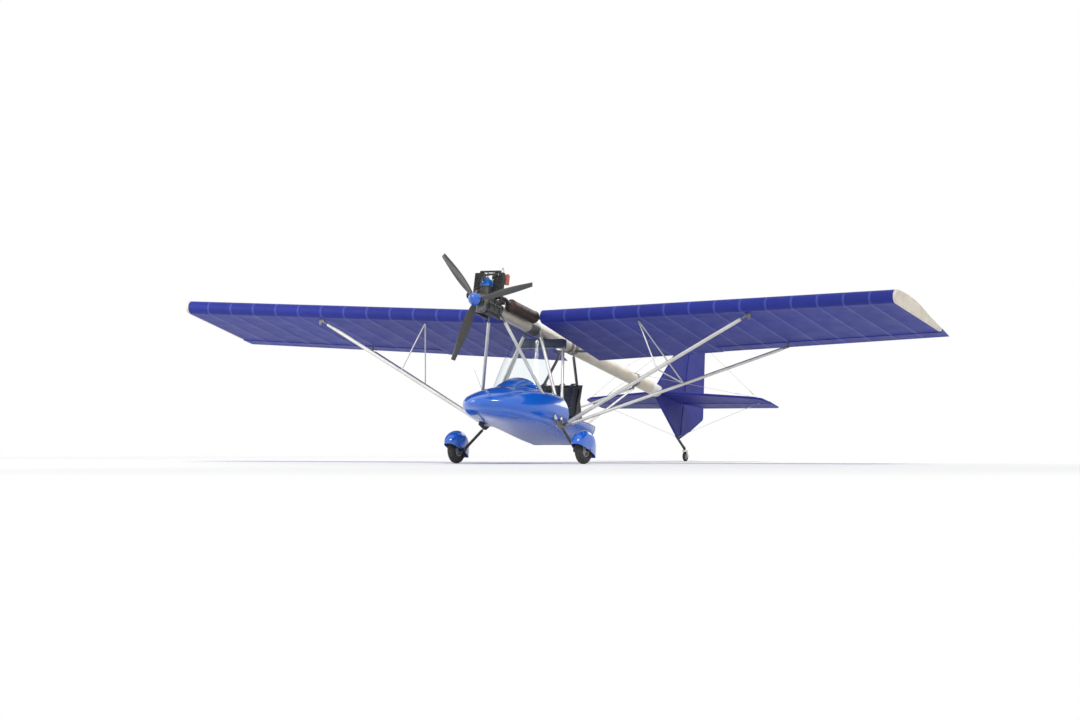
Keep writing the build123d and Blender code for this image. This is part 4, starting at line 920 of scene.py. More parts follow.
# %% Tail covers
FIN_REAR = BOOM_REAR + 0.700
TAILPLANE_REAR = BOOM_REAR + 0.626
fin_tubes = [
    (BOOM_REAR, -0.092, BOOM_REAR, 0.092), (BOOM_REAR, 0.092, FIN_REAR - 0.032, 0.946),
    (FIN_REAR - 0.032, 0.946, FIN_REAR, 0.955), (FIN_REAR, 0.955, FIN_REAR, -0.45),
    (FIN_REAR, -0.45, FIN_REAR - 0.042, -0.45), (FIN_REAR - 0.042, -0.45, BOOM_REAR, -0.092),
    (BOOM_REAR, 0.0, FIN_REAR, 0.0), (3.60, 0.29, FIN_REAR, 0.34), (3.86, 0.615, FIN_REAR, 0.65),
]
rudder_tubes = [
    (FIN_REAR + 0.02, -0.456, FIN_REAR + 0.02, 0.96), (FIN_REAR, 0.96, FIN_REAR + 0.395, 0.953),
    (FIN_REAR + 0.395, 0.953, FIN_REAR + 0.426, 0.925), (FIN_REAR + 0.426, 0.925, FIN_REAR + 0.592, -0.055),
    (FIN_REAR + 0.592, -0.055, FIN_REAR + 0.292, -0.284), (FIN_REAR + 0.292, -0.284, FIN_REAR, -0.456),
    (FIN_REAR, 0.65, FIN_REAR + 0.45, 0.62), (FIN_REAR, 0.34, FIN_REAR + 0.50, 0.29),
    (FIN_REAR, 0.0, FIN_REAR + 0.57, -0.04),
]
tailplane_tubes = [
    (0.016, TAILPLANE_REAR - 0.586, 1.15, TAILPLANE_REAR - 0.246), (1.15, TAILPLANE_REAR - 0.246, 1.24, 3.92),
    (1.24, 3.92, 1.25, TAILPLANE_REAR), (1.25, TAILPLANE_REAR, 0.016, TAILPLANE_REAR),
    (0.016, TAILPLANE_REAR - 0.586, 0.016, TAILPLANE_REAR), (0.42, 3.61, 0.42, TAILPLANE_REAR),
    (0.83, 3.73, 0.83, TAILPLANE_REAR),
]
elevator_tubes = [
    (0.042, TAILPLANE_REAR + 0.02, 1.25, TAILPLANE_REAR + 0.02), (1.25, TAILPLANE_REAR, 1.25, 4.36),
    (1.25, 4.36, 1.225, 4.385), (1.225, 4.385, 0.185, 4.408), (0.185, 4.408, 0.062, 4.18),
    (0.062, 4.18, 0.042, TAILPLANE_REAR), (0.42, TAILPLANE_REAR, 0.42, 4.40),
    (0.83, TAILPLANE_REAR, 0.83, 4.39),
]
to_boom = boom.inverted()
GRID = 0.045
GRID_START = 0.002
TUBE_REACH = 0.016
FIN_HEIGHT = (2, -0.45, 0.955)
TAIL_SPAN = (0, -1.25, 1.25)


def grid_cuts(*runs):
    """Planes at an even pitch along the boom's axes, each run given as (axis, start, end)."""
    cuts = []
    for axis, start, end in runs:
        arrow = Vector((0, 0, 0))
        arrow[axis] = 1.0
        for k in range(int((end - start) / GRID) + 1):
            cuts.append((boom @ (arrow * (start + GRID * k + GRID_START)), boom_turn @ arrow))
    return cuts


def tail_measure(tubes, flat):
    """Measure for a cover that lies flat like the tailplane, or stands upright like the fin."""
    inward = boom_turn @ Vector((0, 0, 1) if flat else (1, 0, 0))

    def measure(point):
        spot = to_boom @ point
        place = (abs(spot.x), spot.y) if flat else (spot.y, spot.z)
        return distance_to(tubes, *place) - TUBE_REACH, inward
    return measure


for source, body, runs, tubes, flat, sag in (
    ("fin", "airframe", ((1, BOOM_REAR, FIN_REAR), FIN_HEIGHT), fin_tubes, False, TAIL_SAG),
    ("rudder", "rudder", ((1, FIN_REAR, FIN_REAR + 0.6), FIN_HEIGHT), rudder_tubes, False, HINGED_TAIL_SAG),
    ("tailplane", "airframe", (TAIL_SPAN, (1, 3.49, TAILPLANE_REAR)), tailplane_tubes, True, TAIL_SAG),
    ("elevator", "elevator", (TAIL_SPAN, (1, TAILPLANE_REAR, 4.41)), elevator_tubes, True, HINGED_TAIL_SAG),
):
    cover(source, body, grid_cuts(*runs), tail_measure(tubes, flat), sag, TAIL_EASE, tail_cloth)

# %% [markdown]
# The seat pads are foam in a sewn cover. Foam under cloth is never a block: its faces crown and its sides
# pull in. Each pad starts a little small, is remeshed evenly, and is then blown up by a short cloth
# simulation with pressure and no gravity. What it may move is capped, and its underside stays flat where it
# rests on the seat.

# %% Stuffed pads
SEAT_X = 0.199
PAD_HALF = 0.165
BENCH_TOP = -0.990
PAD_FLOOR = BENCH_TOP + 0.0143
PAD_FRONT = 0.360
PAD_REAR = 0.722
PAD_DEEP = 0.062
BACK_LEAN = math.atan2(84, 510)
BACK_FOOT = 0.096
BACK_FACE_Y = 0.772 + (BACK_FOOT - 0.014) * math.tan(BACK_LEAN)
BACK_TALL = 0.400
BACK_DEEP = 0.056
VOXEL = 0.006
START_INSET = 0.007
CLOTH_FRAMES = 20
PRESSURE = 4.0
SWELL_CAP = 0.010
SWELL_ROOM = 0.006
REST_REACH = 0.010
SEAM_WIDTH = 0.007
SEAT_SEAMS = (-0.05, 0.07)
BACK_SEAMS = (0.14, 0.27)
SEAT_FOAM = 0.0
BACK_FOAM = -0.0006


def seat_place(side):
    """Frame of a seat pad: x across, y aft, z up from the pan."""
    return park @ Matrix.Translation((side * SEAT_X, (PAD_FRONT + PAD_REAR) / 2, PAD_FLOOR))


def back_place(side):
    """Frame of a back pad: x across, y aft into the seat back, z up along it."""
    return (park @ Matrix.Translation((side * SEAT_X, BACK_FACE_Y, BENCH_TOP + BACK_FOOT))
            @ Matrix.Rotation(-BACK_LEAN, 4, "X"))


print("pads are", PAD_HALF * 2, "m wide, backs lean", round(math.degrees(BACK_LEAN), 1), "degrees")

# %% [markdown]
# The work is split in three. The first function makes the even starting mesh, the second blows it up, and
# the third settles each point: kept inside the space a pad has, flat on the side it rests on, and drawn in
# along its sewn seams.

# %% Blow up and settle a pad


def rounded_blocks(name, places, low, high):
    """One even mesh with a rounded block at each place, a little smaller than the finished pads."""
    bm = bmesh.new()
    for place in places:
        add_block(bm, [edge + START_INSET for edge in low], [edge - START_INSET for edge in high], place)
    bmesh.ops.recalc_face_normals(bm, faces=bm.faces)
    start = bpy.data.meshes.new(name + "_start")
    bm.to_mesh(start)
    bm.free()
    maker = place_object(name + "_maker", start)
    bevel = maker.modifiers.new("round", "BEVEL")
    bevel.width = 0.016
    bevel.segments = 4
    remesh = maker.modifiers.new("even", "REMESH")
    remesh.mode = "VOXEL"
    remesh.voxel_size = VOXEL
    even = baked(maker)
    bpy.data.objects.remove(maker)
    bpy.data.meshes.remove(start)
    return even


def blown_up(name, mesh):
    """Places of a mesh's points after a short cloth simulation with pressure inside."""
    soft = place_object(name + "_soft", mesh)
    cloth = soft.modifiers.new("cloth", "CLOTH")
    cloth.settings.quality = 5
    cloth.settings.mass = 0.3
    cloth.settings.use_pressure = True
    cloth.settings.uniform_pressure_force = PRESSURE
    cloth.settings.effector_weights.gravity = 0.0
    cloth.point_cache.frame_start = 1
    cloth.point_cache.frame_end = CLOTH_FRAMES
    for number in range(1, CLOTH_FRAMES + 1):
        scene.frame_set(number)
    blown = bpy.data.meshes.new_from_object(soft.evaluated_get(bpy.context.evaluated_depsgraph_get()))
    swollen = [vertex.co.copy() for vertex in blown.vertices]
    scene.frame_set(1)
    bpy.data.objects.remove(soft)
    bpy.data.meshes.remove(blown)
    return swollen


def settled(local, low, high, flat_axis, flat_way, flat_at, seam_axis, seams, seam_depth):
    """Point of a pad kept inside its space, flat where it rests, and drawn in along its sewn seams."""
    local.x = max(low[0], min(high[0], local.x))
    local.y = max(low[1] - SWELL_ROOM, min(high[1], local.y))
    local.z = max(low[2], min(high[2] + SWELL_ROOM, local.z))
    if local[flat_axis] * flat_way - flat_at * flat_way > -REST_REACH:
        local[flat_axis] = flat_at
    centre_y, centre_z = (low[1] + high[1]) / 2, (low[2] + high[2]) / 2
    for seam in seams:
        pull = math.exp(-((local[seam_axis] - seam) / SEAM_WIDTH) ** 2)
        if flat_axis == 2 or local.y < centre_y:
            local.y += (centre_y - local.y) * seam_depth * pull
        if seam_axis == 1 and local.z > centre_z:
            local.z += (centre_z - local.z) * seam_depth * pull
    return local


def stuffed(name, node_name, places, low, high, *shape):
    """Pads of one node: rounded blocks blown up, capped and settled, with shape as settled() takes it."""
    even = rounded_blocks(name, places, low, high)
    rest = [vertex.co.copy() for vertex in even.vertices]
    swollen = blown_up(name, even)
    backs = [place.inverted() for place in places]
    for vertex, start, end in zip(even.vertices, rest, swollen):
        move = end - start
        if move.length > SWELL_CAP:
            move.length = SWELL_CAP
        spot = start + move
        which = 0 if (spot.x > 0) == (places[0].translation.x > 0) else -1
        vertex.co = places[which] @ settled(backs[which] @ spot, low, high, *shape)
    even.name = name
    for polygon in even.polygons:
        polygon.use_smooth = True
    pad = place_object(name, even)
    finer = pad.modifiers.new("finer", "SUBSURF")
    finer.levels = 1
    finer.render_levels = 1
    fine = baked(pad)
    pad.modifiers.clear()
    pad.data = fine
    fine.materials.clear()
    fine.materials.append(seat_cloth)
    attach(pad, "airframe")
    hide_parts(node_name)
    print(name, len(fine.polygons), "faces")
    return pad


print("a swollen point moves at most", SWELL_CAP * 1000, "mm")

# %% [markdown]
# A seat pad rests on the pan, so its underside is flat, and its seams run across it. A back pad leans on
# the seat's back, so the flat side is its rear, and its seams run across at two heights.

# %% Seat pads and back pads
pad_reach = (PAD_REAR - PAD_FRONT) / 2
seat_pads = stuffed("seat_pads", "seat_cushions", [seat_place(1), seat_place(-1)],
                    (-PAD_HALF, -pad_reach, 0.0), (PAD_HALF, pad_reach, PAD_DEEP),
                    2, -1, SEAT_FOAM, 1, SEAT_SEAMS, 0.22)
back_pads = stuffed("back_pads", "back_cushions", [back_place(1), back_place(-1)],
                    (-PAD_HALF, -BACK_DEEP, 0.0), (PAD_HALF, BACK_FOAM, BACK_TALL),
                    1, 1, BACK_FOAM, 2, BACK_SEAMS, 0.3)

# %% [markdown]
# Each pad has a line of stitches in its sewn seams. Where a stitch goes is found by casting a ray at the
# finished pad, so that it lies on the cloth and not in it. The same rays will place the straps, and screws
# on other skins.

# %% Seam stitches
STITCH_PITCH = 0.005
STITCHES_ASIDE = 30
CAST_FROM = 0.3


def tree_of(*objects):
    """Tree that finds where a ray meets the meshes of some objects."""
    points, faces = [], []
    for thing in objects:
        base = len(points)
        points += [vertex.co.copy() for vertex in thing.data.vertices]
        faces += [[base + i for i in polygon.vertices] for polygon in thing.data.polygons]
    return BVHTree.FromPolygons(points, faces)


def landing(tree, start, way, lift=0.0003):
    """Where a ray lands, lifted off a little, and the way the surface faces there, or None for a miss."""
    hit, normal, _, _ = tree.ray_cast(start, way)
    return None if hit is None else (hit + normal * lift, normal)


pad_tree = tree_of(seat_pads, back_pads)
stitches = []
for side in (1, -1):
    seams = [(seat_place(side), (y, 0.2), (0, 0, -1)) for y in SEAT_SEAMS]
    seams += [(back_place(side), (-CAST_FROM, z), (0, 1, 0)) for z in BACK_SEAMS]
    for place, above, way in seams:
        turn = place.to_3x3()
        for k in range(-STITCHES_ASIDE, STITCHES_ASIDE + 1):
            spot = landing(pad_tree, place @ Vector((k * STITCH_PITCH, *above)), turn @ Vector(way))
            if spot:
                stitches.append((*spot, turn @ Vector((1, 0, 0))))
set_on_points("pad_stitches", block_tree, stitches, seam_thread, "airframe",
              Length=0.0034, Width=0.0009, Height=0.0008)

# %% [markdown]
# Each seat has two shoulder straps and a lap belt with a buckle. The straps hang over the top of the back
# pad, then follow it down to the belt. Each place that a ray finds is lifted off by more than a strap's
# thickness, so that nothing sinks in.

# %% Straps and buckles
STRAP_WIDTH = 0.044
STRAP_THICK = 0.0025
SHOULDER_X = 0.075
LAP_Y = 0.02
LAP_START = -0.18
LAP_STEPS = 14


def add_strap(bm, points, wide_way, outside):
    """Flat strap along a path, its width along a direction and its thickness to one side, 1 or -1."""
    rings = []
    for i, point in enumerate(points):
        ahead = (points[min(i + 1, len(points) - 1)] - points[max(i - 1, 0)]).normalized()
        wide = (wide_way - ahead * wide_way.dot(ahead)).normalized()
        half = wide * STRAP_WIDTH / 2
        thick = wide.cross(ahead) * outside * STRAP_THICK
        rings.append([point + half, point - half, point - half + thick, point + half + thick])
    add_rings(bm, rings)


strap_mesh = bmesh.new()
buckle_mesh = bmesh.new()
for side in (1, -1):
    lying = back_place(side)
    sitting = seat_place(side)
    into_back = lying.to_3x3() @ Vector((0, 1, 0))
    into_seat = sitting.to_3x3() @ Vector((0, 0, -1))
    for strap_x in (-SHOULDER_X, SHOULDER_X):
        path = [lying @ Vector((strap_x, 0.012, 0.44)), lying @ Vector((strap_x, -0.012, 0.446)),
                lying @ Vector((strap_x, -BACK_DEEP * 0.75, 0.425))]
        casts = [(lying @ Vector((strap_x * (1 - step * 0.035), -CAST_FROM, 0.385 - step * 0.027)),
                  into_back, 0.004) for step in range(14)]
        casts += [(sitting @ Vector((strap_x * (0.5 - step * 0.06), 0.12 - step * 0.035, CAST_FROM)),
                   into_seat, 0.005) for step in range(5)]
        path += [spot[0] for spot in (landing(pad_tree, *ray_cast) for ray_cast in casts) if spot]
        add_strap(strap_mesh, smooth_path(path, 3), across, -1)
    lap = []
    for step in range(LAP_STEPS + 1):
        x = LAP_START + step * 0.36 / LAP_STEPS
        if abs(x) > 0.160:
            lap.append(sitting @ Vector((x, 0.10, 0.03)))
            continue
        spot = landing(pad_tree, sitting @ Vector((x, LAP_Y, CAST_FROM)), into_seat, 0.008)
        if spot:
            lap.append(spot[0])
    add_strap(strap_mesh, smooth_path(lap, 3), Vector((0, 1, 0)), 1)
    middle, _ = landing(pad_tree, sitting @ Vector((0, LAP_Y, CAST_FROM)), into_seat, 0.012)
    buckle = Matrix.Translation(middle) @ park_turn.to_4x4()
    add_block(buckle_mesh, (-0.03, -0.028, 0), (0.03, 0.028, 0.011), buckle)
    add_block(buckle_mesh, (-0.021, -0.02, 0.011), (0.021, 0.012, 0.015), buckle)
from_bmesh("seat_straps", strap_mesh, belt_webbing, "airframe", sharp=30)
from_bmesh("strap_buckles", buckle_mesh, bracket_steel, "airframe", smooth=False)

# %% [markdown]
# The instruments are seen by whoever sits down. Each bezel in the CAD gets a dark face, a ring of light
# ticks and a needle. The ticks are set by the block tree, their length pointing at the dial's centre.

# %% Instrument faces
PANEL_REAR = -0.034
BEZEL = 0.0068
FACE_THICK = 0.0012
TICKS = 24
dials = ((0, -0.610, 0.044), (-0.104, -0.628, 0.044), (0.104, -0.628, 0.044), (-0.206, -0.668, 0.032),
         (0.206, -0.668, 0.032), (-0.060, -0.712, 0.032), (0.060, -0.712, 0.032))


def spoke_at(degrees):
    """Direction of a clock hand on the panel, turned from straight up."""
    angle = math.radians(degrees)
    return park_turn @ Vector((math.sin(angle), 0, math.cos(angle)))


face_mesh = bmesh.new()
needle_mesh = bmesh.new()
ticks = []
for number, (x, z, radius) in enumerate(dials):
    centre = level(x, PANEL_REAR + 0.0003, z)
    face = radius - BEZEL
    add_turned(face_mesh, [(0, 0), (face, 0), (face, FACE_THICK), (0, FACE_THICK)], centre, aft, 28)
    for k in range(TICKS + 1):
        spoke = spoke_at(-135 + k * 270 / TICKS)
        reach = face * (0.86 if k % 4 else 0.82)
        ticks.append((centre + spoke * reach + aft * 0.0014, aft, spoke))
    # The needles stand at different angles, as they would, by a sum that seldom repeats.
    spoke = spoke_at(-120 + (number * 67) % 190)
    hub = level(x, PANEL_REAR + 0.0025, z)
    add_tube(needle_mesh, [hub - spoke * (radius * 0.18), hub + spoke * (radius * 0.66)], [0.0014, 0.0004], 6)
from_bmesh("dial_faces", face_mesh, panel_black, "airframe")
from_bmesh("dial_needles", needle_mesh, dial_white, "airframe")
set_on_points("dial_ticks", block_tree, ticks, dial_white, "airframe",
              Length=0.004, Width=0.0009, Height=0.0004)

# %% [markdown]
# Under the dials stand four toggle switches. Each is a threaded collar, turned from a short profile, with a
# lever that widens towards its tip.

# %% Panel switches
switch_mesh = bmesh.new()
switch_collar = [(0, 0), (0.007, 0), (0.007, 0.003), (0.004, 0.003), (0.004, 0.006), (0, 0.006)]
for k in range(4):
    foot = level(0.15 + k * 0.028, PANEL_REAR - 0.004, -0.728)
    add_turned(switch_mesh, switch_collar, foot, aft, 12)
    lever = [foot + aft * 0.005, foot + aft * 0.017 + Vector((0, 0, 0.006))]
    add_tube(switch_mesh, lever, [0.0016, 0.0028], 8)
from_bmesh("panel_switches", switch_mesh, bracket_steel, "airframe")

# %% [markdown]
# The engine hangs out in the open, so what is bolted and plumbed to it shows: plug caps and their leads,
# coolant hoses with clamps, carburettor cables, springs that hold the exhaust together, bolts, and the fins
# of the radiators. Hoses and leads are tubes along soft curves between fittings, laid out in the boom's
# frame.

# %% Plug caps, leads and coils
CYLINDERS = (-0.920, -0.800)
HEAD_TOP = 0.316
COIL_X = 0.034
LEAD_RADIUS = 0.0038
THIN_LEAD_RADIUS = 0.0028
PLUG_SIDES = 16


def boom_path(*places):
    """Soft curve through places given in the boom's frame."""
    return smooth_path([on_boom(*place) for place in places])


cap_mesh = bmesh.new()
lead_mesh = bmesh.new()
ceramic_mesh = bmesh.new()
coil_mesh = bmesh.new()
for coil_x in (-COIL_X, COIL_X):
    add_block(coil_mesh, (coil_x - 0.027, -0.640, 0.080), (coil_x + 0.027, -0.560, 0.122), boom)
    for k in range(7):
        lamination = -0.634 + k * 0.0115
        low, high = (coil_x - 0.024, lamination, 0.120), (coil_x + 0.024, lamination + 0.004, 0.128)
        add_block(coil_mesh, low, high, boom)
    add_block(coil_mesh, (coil_x - 0.030, -0.606, 0.0745), (coil_x + 0.030, -0.592, 0.0815), boom)
ceramic = [(0, -0.001), (0.012, -0.001), (0.012, 0.006), (0.007, 0.007), (0.006, 0.024), (0, 0.024)]
cap = [(0, 0.016), (0.011, 0.016), (0.012, 0.03), (0.010, 0.052), (0.006, 0.056), (0, 0.056)]
for station, coil_x, rise in zip(CYLINDERS, (COIL_X, -COIL_X), (0.09, 0.055)):
    foot = on_boom(0, station, HEAD_TOP)
    add_turned(ceramic_mesh, ceramic, foot, above_boom, PLUG_SIDES)
    add_turned(cap_mesh, cap, foot, above_boom, PLUG_SIDES)
    add_tube(lead_mesh, boom_path(
        (0, station, HEAD_TOP + 0.050), (0, station, HEAD_TOP + 0.070),
        (coil_x * 0.6, station + 0.05, HEAD_TOP + rise), (coil_x, station + 0.14, HEAD_TOP + 0.03),
        (coil_x, -0.650, 0.240), (coil_x, -0.612, 0.165), (coil_x, -0.600, 0.124)), LEAD_RADIUS, 8)
add_tube(lead_mesh, boom_path(
    (0.128, -0.846, 0.380), (0.126, -0.826, 0.430), (0.120, -0.800, 0.462), (0.116, -0.768, 0.440),
    (0.118, -0.752, 0.380), (0.122, -0.746, 0.300), (0.110, -0.738, 0.200), (0.090, -0.720, 0.100)),
    THIN_LEAD_RADIUS, 8)
from_bmesh("plug_caps", cap_mesh, hose_rubber, "airframe")
from_bmesh("plug_leads", lead_mesh, hose_rubber, "airframe")
from_bmesh("plug_bodies", ceramic_mesh, dial_white, "airframe")
from_bmesh("ignition_coils", coil_mesh, mount_black, "airframe", smooth=False)

# %% [markdown]
# Coolant leaves the head through one thick hose and comes back from the radiators through two. The throttle
# cables and the fuel line run the other way, to the cockpit. All are round and of even width, so a tube
# along a soft curve is enough, and a worm clamp holds each hose on its pipe.

# %% Coolant, fuel and cables
OUTLET_RADIUS = 0.013
INLET_RADIUS = 0.012
CABLE_RADIUS = 0.0028
FUEL_RADIUS = 0.004
CLAMP_HALF = 0.005
CLAMP_WALL = 0.0014
INTAKE_X = -0.128
REAR_TUBE_TOP = Vector((-0.080, 1.112, -0.020))
REAR_TUBE_FOOT = Vector((-0.402, 0.885, -0.940))
BESIDE_TUBE = Vector((0, -0.022, -0.004))
hose_mesh = bmesh.new()
clamp_mesh = bmesh.new()
cable_mesh = bmesh.new()
fuel_mesh = bmesh.new()


def hose_clamp(point, axis, radius):
    """Worm clamp: a band with its screw housing."""
    outer = radius + CLAMP_WALL
    band = [(radius, -CLAMP_HALF), (outer, -CLAMP_HALF), (outer, CLAMP_HALF), (radius, CLAMP_HALF)]
    add_turned(clamp_mesh, band + band[:1], point, axis, 24)
    side = axis.normalized().orthogonal().normalized()
    screw = axis.normalized().cross(side) * 0.009
    housing = point + side * (radius + 0.004)
    add_tube(clamp_mesh, [housing - screw, housing + screw], 0.004, 8)


outlet_path = boom_path(
    (0, -0.992, 0.262), (0, -1.010, 0.264), (0.004, -1.022, 0.285), (0.030, -1.004, 0.325),
    (0.080, -0.950, 0.346), (0.112, -0.905, 0.350), (0.120, -0.890, 0.350))
add_tube(hose_mesh, outlet_path, OUTLET_RADIUS, 14)
hose_clamp(outlet_path[2], outlet_path[3] - outlet_path[1], OUTLET_RADIUS)
hose_clamp(outlet_path[-3], outlet_path[-1] - outlet_path[-4], OUTLET_RADIUS)
port_inlet = boom_path(
    (0.184, -0.868, 0.140), (0.186, -0.868, 0.110), (0.184, -0.866, 0.070),
    (0.166, -0.862, 0.032), (0.136, -0.860, 0.014), (0.110, -0.860, 0.012))
starboard_inlet = boom_path(
    (-0.088, -0.868, 0.140), (-0.088, -0.868, 0.118), (-0.086, -0.864, 0.098), (-0.080, -0.860, 0.084))
for inlet_path in (port_inlet, starboard_inlet):
    add_tube(hose_mesh, inlet_path, INLET_RADIUS, 14)
    hose_clamp(inlet_path[3], inlet_path[4] - inlet_path[2], INLET_RADIUS)
    hose_clamp(inlet_path[-4], inlet_path[-3] - inlet_path[-5], INLET_RADIUS)
for station in CYLINDERS:
    add_tube(cable_mesh, boom_path(
        (INTAKE_X, station, 0.158), (INTAKE_X, station, 0.190), (-0.126, station + 0.035, 0.220),
        (-0.118, -0.700, 0.200), (-0.104, -0.600, 0.120), (-0.092, -0.480, 0.040),
        (-0.084, -0.300, 0.010), (-0.082, -0.060, -0.010)), CABLE_RADIUS, 8)
    add_tube(fuel_mesh, boom_path(
        (INTAKE_X, station + 0.018, 0.062), (INTAKE_X, station + 0.040, 0.050),
        (-0.124, station + 0.070, 0.010), (-0.118, -0.700, -0.050), (-0.096, -0.600, -0.070),
        (-0.070, -0.480, -0.080), (-0.060, -0.300, -0.082)), FUEL_RADIUS, 8)
tank_line = [on_boom(*place) for place in (
    (-0.060, -0.300, -0.082), (-0.058, 0.0, -0.084), (-0.058, 0.50, -0.086), (-0.060, 0.98, -0.084),
    (-0.074, 1.06, -0.082))]
for share in (0.12, 0.3, 0.5, 0.68, 0.78):
    tank_line.append(park @ (REAR_TUBE_TOP.lerp(REAR_TUBE_FOOT, share) + BESIDE_TUBE))
tank_line += [level(-0.300, 0.930, -0.755), level(-0.262, 0.955, -0.764), level(-0.250, 0.960, -0.772)]
add_tube(fuel_mesh, smooth_path(tank_line), FUEL_RADIUS, 8)
from_bmesh("coolant_hoses", hose_mesh, hose_rubber, "airframe")
from_bmesh("hose_clamps", clamp_mesh, bracket_steel, "airframe")
from_bmesh("throttle_cables", cable_mesh, hose_rubber, "airframe")
from_bmesh("fuel_lines", fuel_mesh, hose_rubber, "airframe")

# %% [markdown]
# Radiator cores are made of hundreds of thin fins. The CAD has the grooves, and the block tree fills each
# groove with plates at an even pitch, on both faces of the core.

# %% Radiator fins
RADIATOR_S = -0.868
CORE_FACE = 0.0195
CORE_FOOT = 0.138
FIRST_GROOVE = 0.034
GROOVES = 9
GROOVE_PITCH = 0.020
GROOVE_HALF = 0.006
CORE_INNER = 0.066
CORE_SIDE = 0.012
FINS_ACROSS = 35
FIN_PITCH = 0.003
fins = []
for side in (1, -1):
    for row in range(GROOVES):
        height = CORE_FOOT + FIRST_GROOVE + row * GROOVE_PITCH + GROOVE_HALF
        for face in (-1, 1):
            for k in range(FINS_ACROSS):
                x = side * (CORE_INNER + CORE_SIDE + k * FIN_PITCH)
                fins.append((on_boom(x, RADIATOR_S + face * CORE_FACE, height), across, above_boom))
set_on_points("radiator_fins", block_tree, fins, dark_alloy, "airframe",
              Length=0.0124, Width=0.0044, Height=0.0006)

# %% [markdown]
# Springs hold the exhaust's joints together, so that it can shake without cracking. A coil spring is a true
# helix, so it is a tube along a formula, with its two ends drawn straight to what they hook on.

# %% Exhaust springs
SPRING_RADIUS = 0.0042
SPRING_WIRE = 0.0009
COIL_POINTS = 12
JOINT_RIM = 0.027
spring_mesh = bmesh.new()


def add_spring(a, b, turns):
    """Coil spring between two places, with straight ends."""
    axis = (b - a).normalized()
    side = axis.orthogonal().normalized()
    over = axis.cross(side)
    path = []
    count = turns * COIL_POINTS
    for k in range(count + 1):
        angle = 2 * math.pi * k / COIL_POINTS
        out = (side * math.cos(angle) + over * math.sin(angle)) * SPRING_RADIUS
        path.append(a + (b - a) * (0.12 + 0.76 * k / count) + out)
    add_tube(spring_mesh, [a] + path + [b], SPRING_WIRE, 6)


for station in CYLINDERS:
    for offset in (-0.024, 0.024):
        add_spring(on_boom(0.074, station + offset, 0.106), on_boom(0.122, station + offset, 0.106), 9)
for angle in (0.6, 2.2, 3.9):
    out, up = JOINT_RIM * math.cos(angle), JOINT_RIM * math.sin(angle)
    add_spring(on_boom(0.146 + out, -0.668, 0.086 + up),
               on_boom(0.142 + out * 1.25, -0.612, 0.072 + up * 1.25), 10)
from_bmesh("exhaust_springs", spring_mesh, cable_steel, "airframe")

# %% [markdown]
# Bolts hold the head, the mount and the gearbox, and six more the propeller's hub. They are lists of
# places, worked out from the piece that they hold, and each list is one call of the head tree, with six
# sides.

# %% Engine and hub bolts
HEAD_BOLT_X = 0.047
HEAD_BOLT_N = 0.2252
MOUNT_BOLT_X = 0.112
GEAR_FACE = -1.0005 - 0.0125
GEAR_AXIS_N = -0.018
HUB_FACE = -1.120 + 0.0322
HUB_CIRCLE = 0.036
HUB_BOLTS = 6
forward = -along_boom
bolts = []
for x in (-HEAD_BOLT_X, HEAD_BOLT_X):
    for station in (-0.968, -0.890, -0.830, -0.750):
        bolts.append((on_boom(x * 1.10, station, HEAD_BOLT_N), above_boom, across))
for k in range(8):
    for x in (-MOUNT_BOLT_X, MOUNT_BOLT_X):
        bolts.append((on_boom(x, -0.985 + k * 0.036, 0.0035), above_boom, across))
for k in range(8):
    angle = math.radians(22.5 + k * 45)
    place = on_boom(0.085 * math.cos(angle), GEAR_FACE, GEAR_AXIS_N + 0.100 * math.sin(angle))
    bolts.append((place, forward, above_boom))
set_on_points("engine_bolts", head_tree, bolts, bracket_steel, "airframe",
              Head_Radius=0.0062, Head_Height=0.006, Sides=6)

hub_bolts = []
for k in range(HUB_BOLTS):
    angle = math.radians(30 + k * 360 / HUB_BOLTS)
    place = on_boom(HUB_CIRCLE * math.cos(angle), HUB_FACE, HUB_CIRCLE * math.sin(angle))
    hub_bolts.append((place, along_boom, above_boom))
set_on_points("hub_bolts", head_tree, hub_bolts, bracket_steel, "propeller",
              Head_Radius=0.0065, Head_Height=0.005, Sides=6)

# %% [markdown]
# The clear screen, the cowl and the pod's moulding are held by small screws near their edges. Their skins
# curve, so each screw is placed by a ray, as the stitches were, and its head lies along the skin where the
# ray lands.

# %% Screws in the screen, cowl and pod
SCREEN_FOOT = -0.70
SCREEN_TALL = 0.62
SCREEN_SCREWS = 16
SCREW_LIFT = 0.0004
screen_tree = tree_of(nodes["windscreen"])
pod_tree = tree_of(nodes["pod_shell"])
cowl_tree = tree_of(nodes["instrument_cowl"])
cap_tree = tree_of(nodes["wing_caps"])
screen_screws = []
pod_screws = []
for k in range(0, 33, 2):
    x = -0.36 + k * 0.0225
    start = level(x, -0.10 - 0.19 * (1 - (x / 0.37) ** 2), 0.3)
    spot = landing(cowl_tree, start, park_turn @ Vector((0, 0, -1)), SCREW_LIFT)
    if spot:
        pod_screws.append((*spot, across))
for side in (1, -1):
    inward = Vector((-side, 0, 0))
    for k in range(SCREEN_SCREWS):
        share = (k + 0.5) / SCREEN_SCREWS
        start = level(side * 2.0, 0.088 + 0.030 * share, SCREEN_FOOT + SCREEN_TALL * share)
        spot = landing(screen_tree, start, inward, SCREW_LIFT)
        if spot:
            screen_screws.append((*spot, along_boom))
    for k in range(13):
        spot = landing(pod_tree, level(side * 1.2, 0.44 + k * 0.055, -0.945), inward, SCREW_LIFT)
        if spot:
            pod_screws.append((*spot, along_boom))
set_on_points("screen_screws", head_tree, screen_screws, bracket_steel, "airframe",
              Head_Radius=0.0042, Head_Height=0.0018, Sides=10)
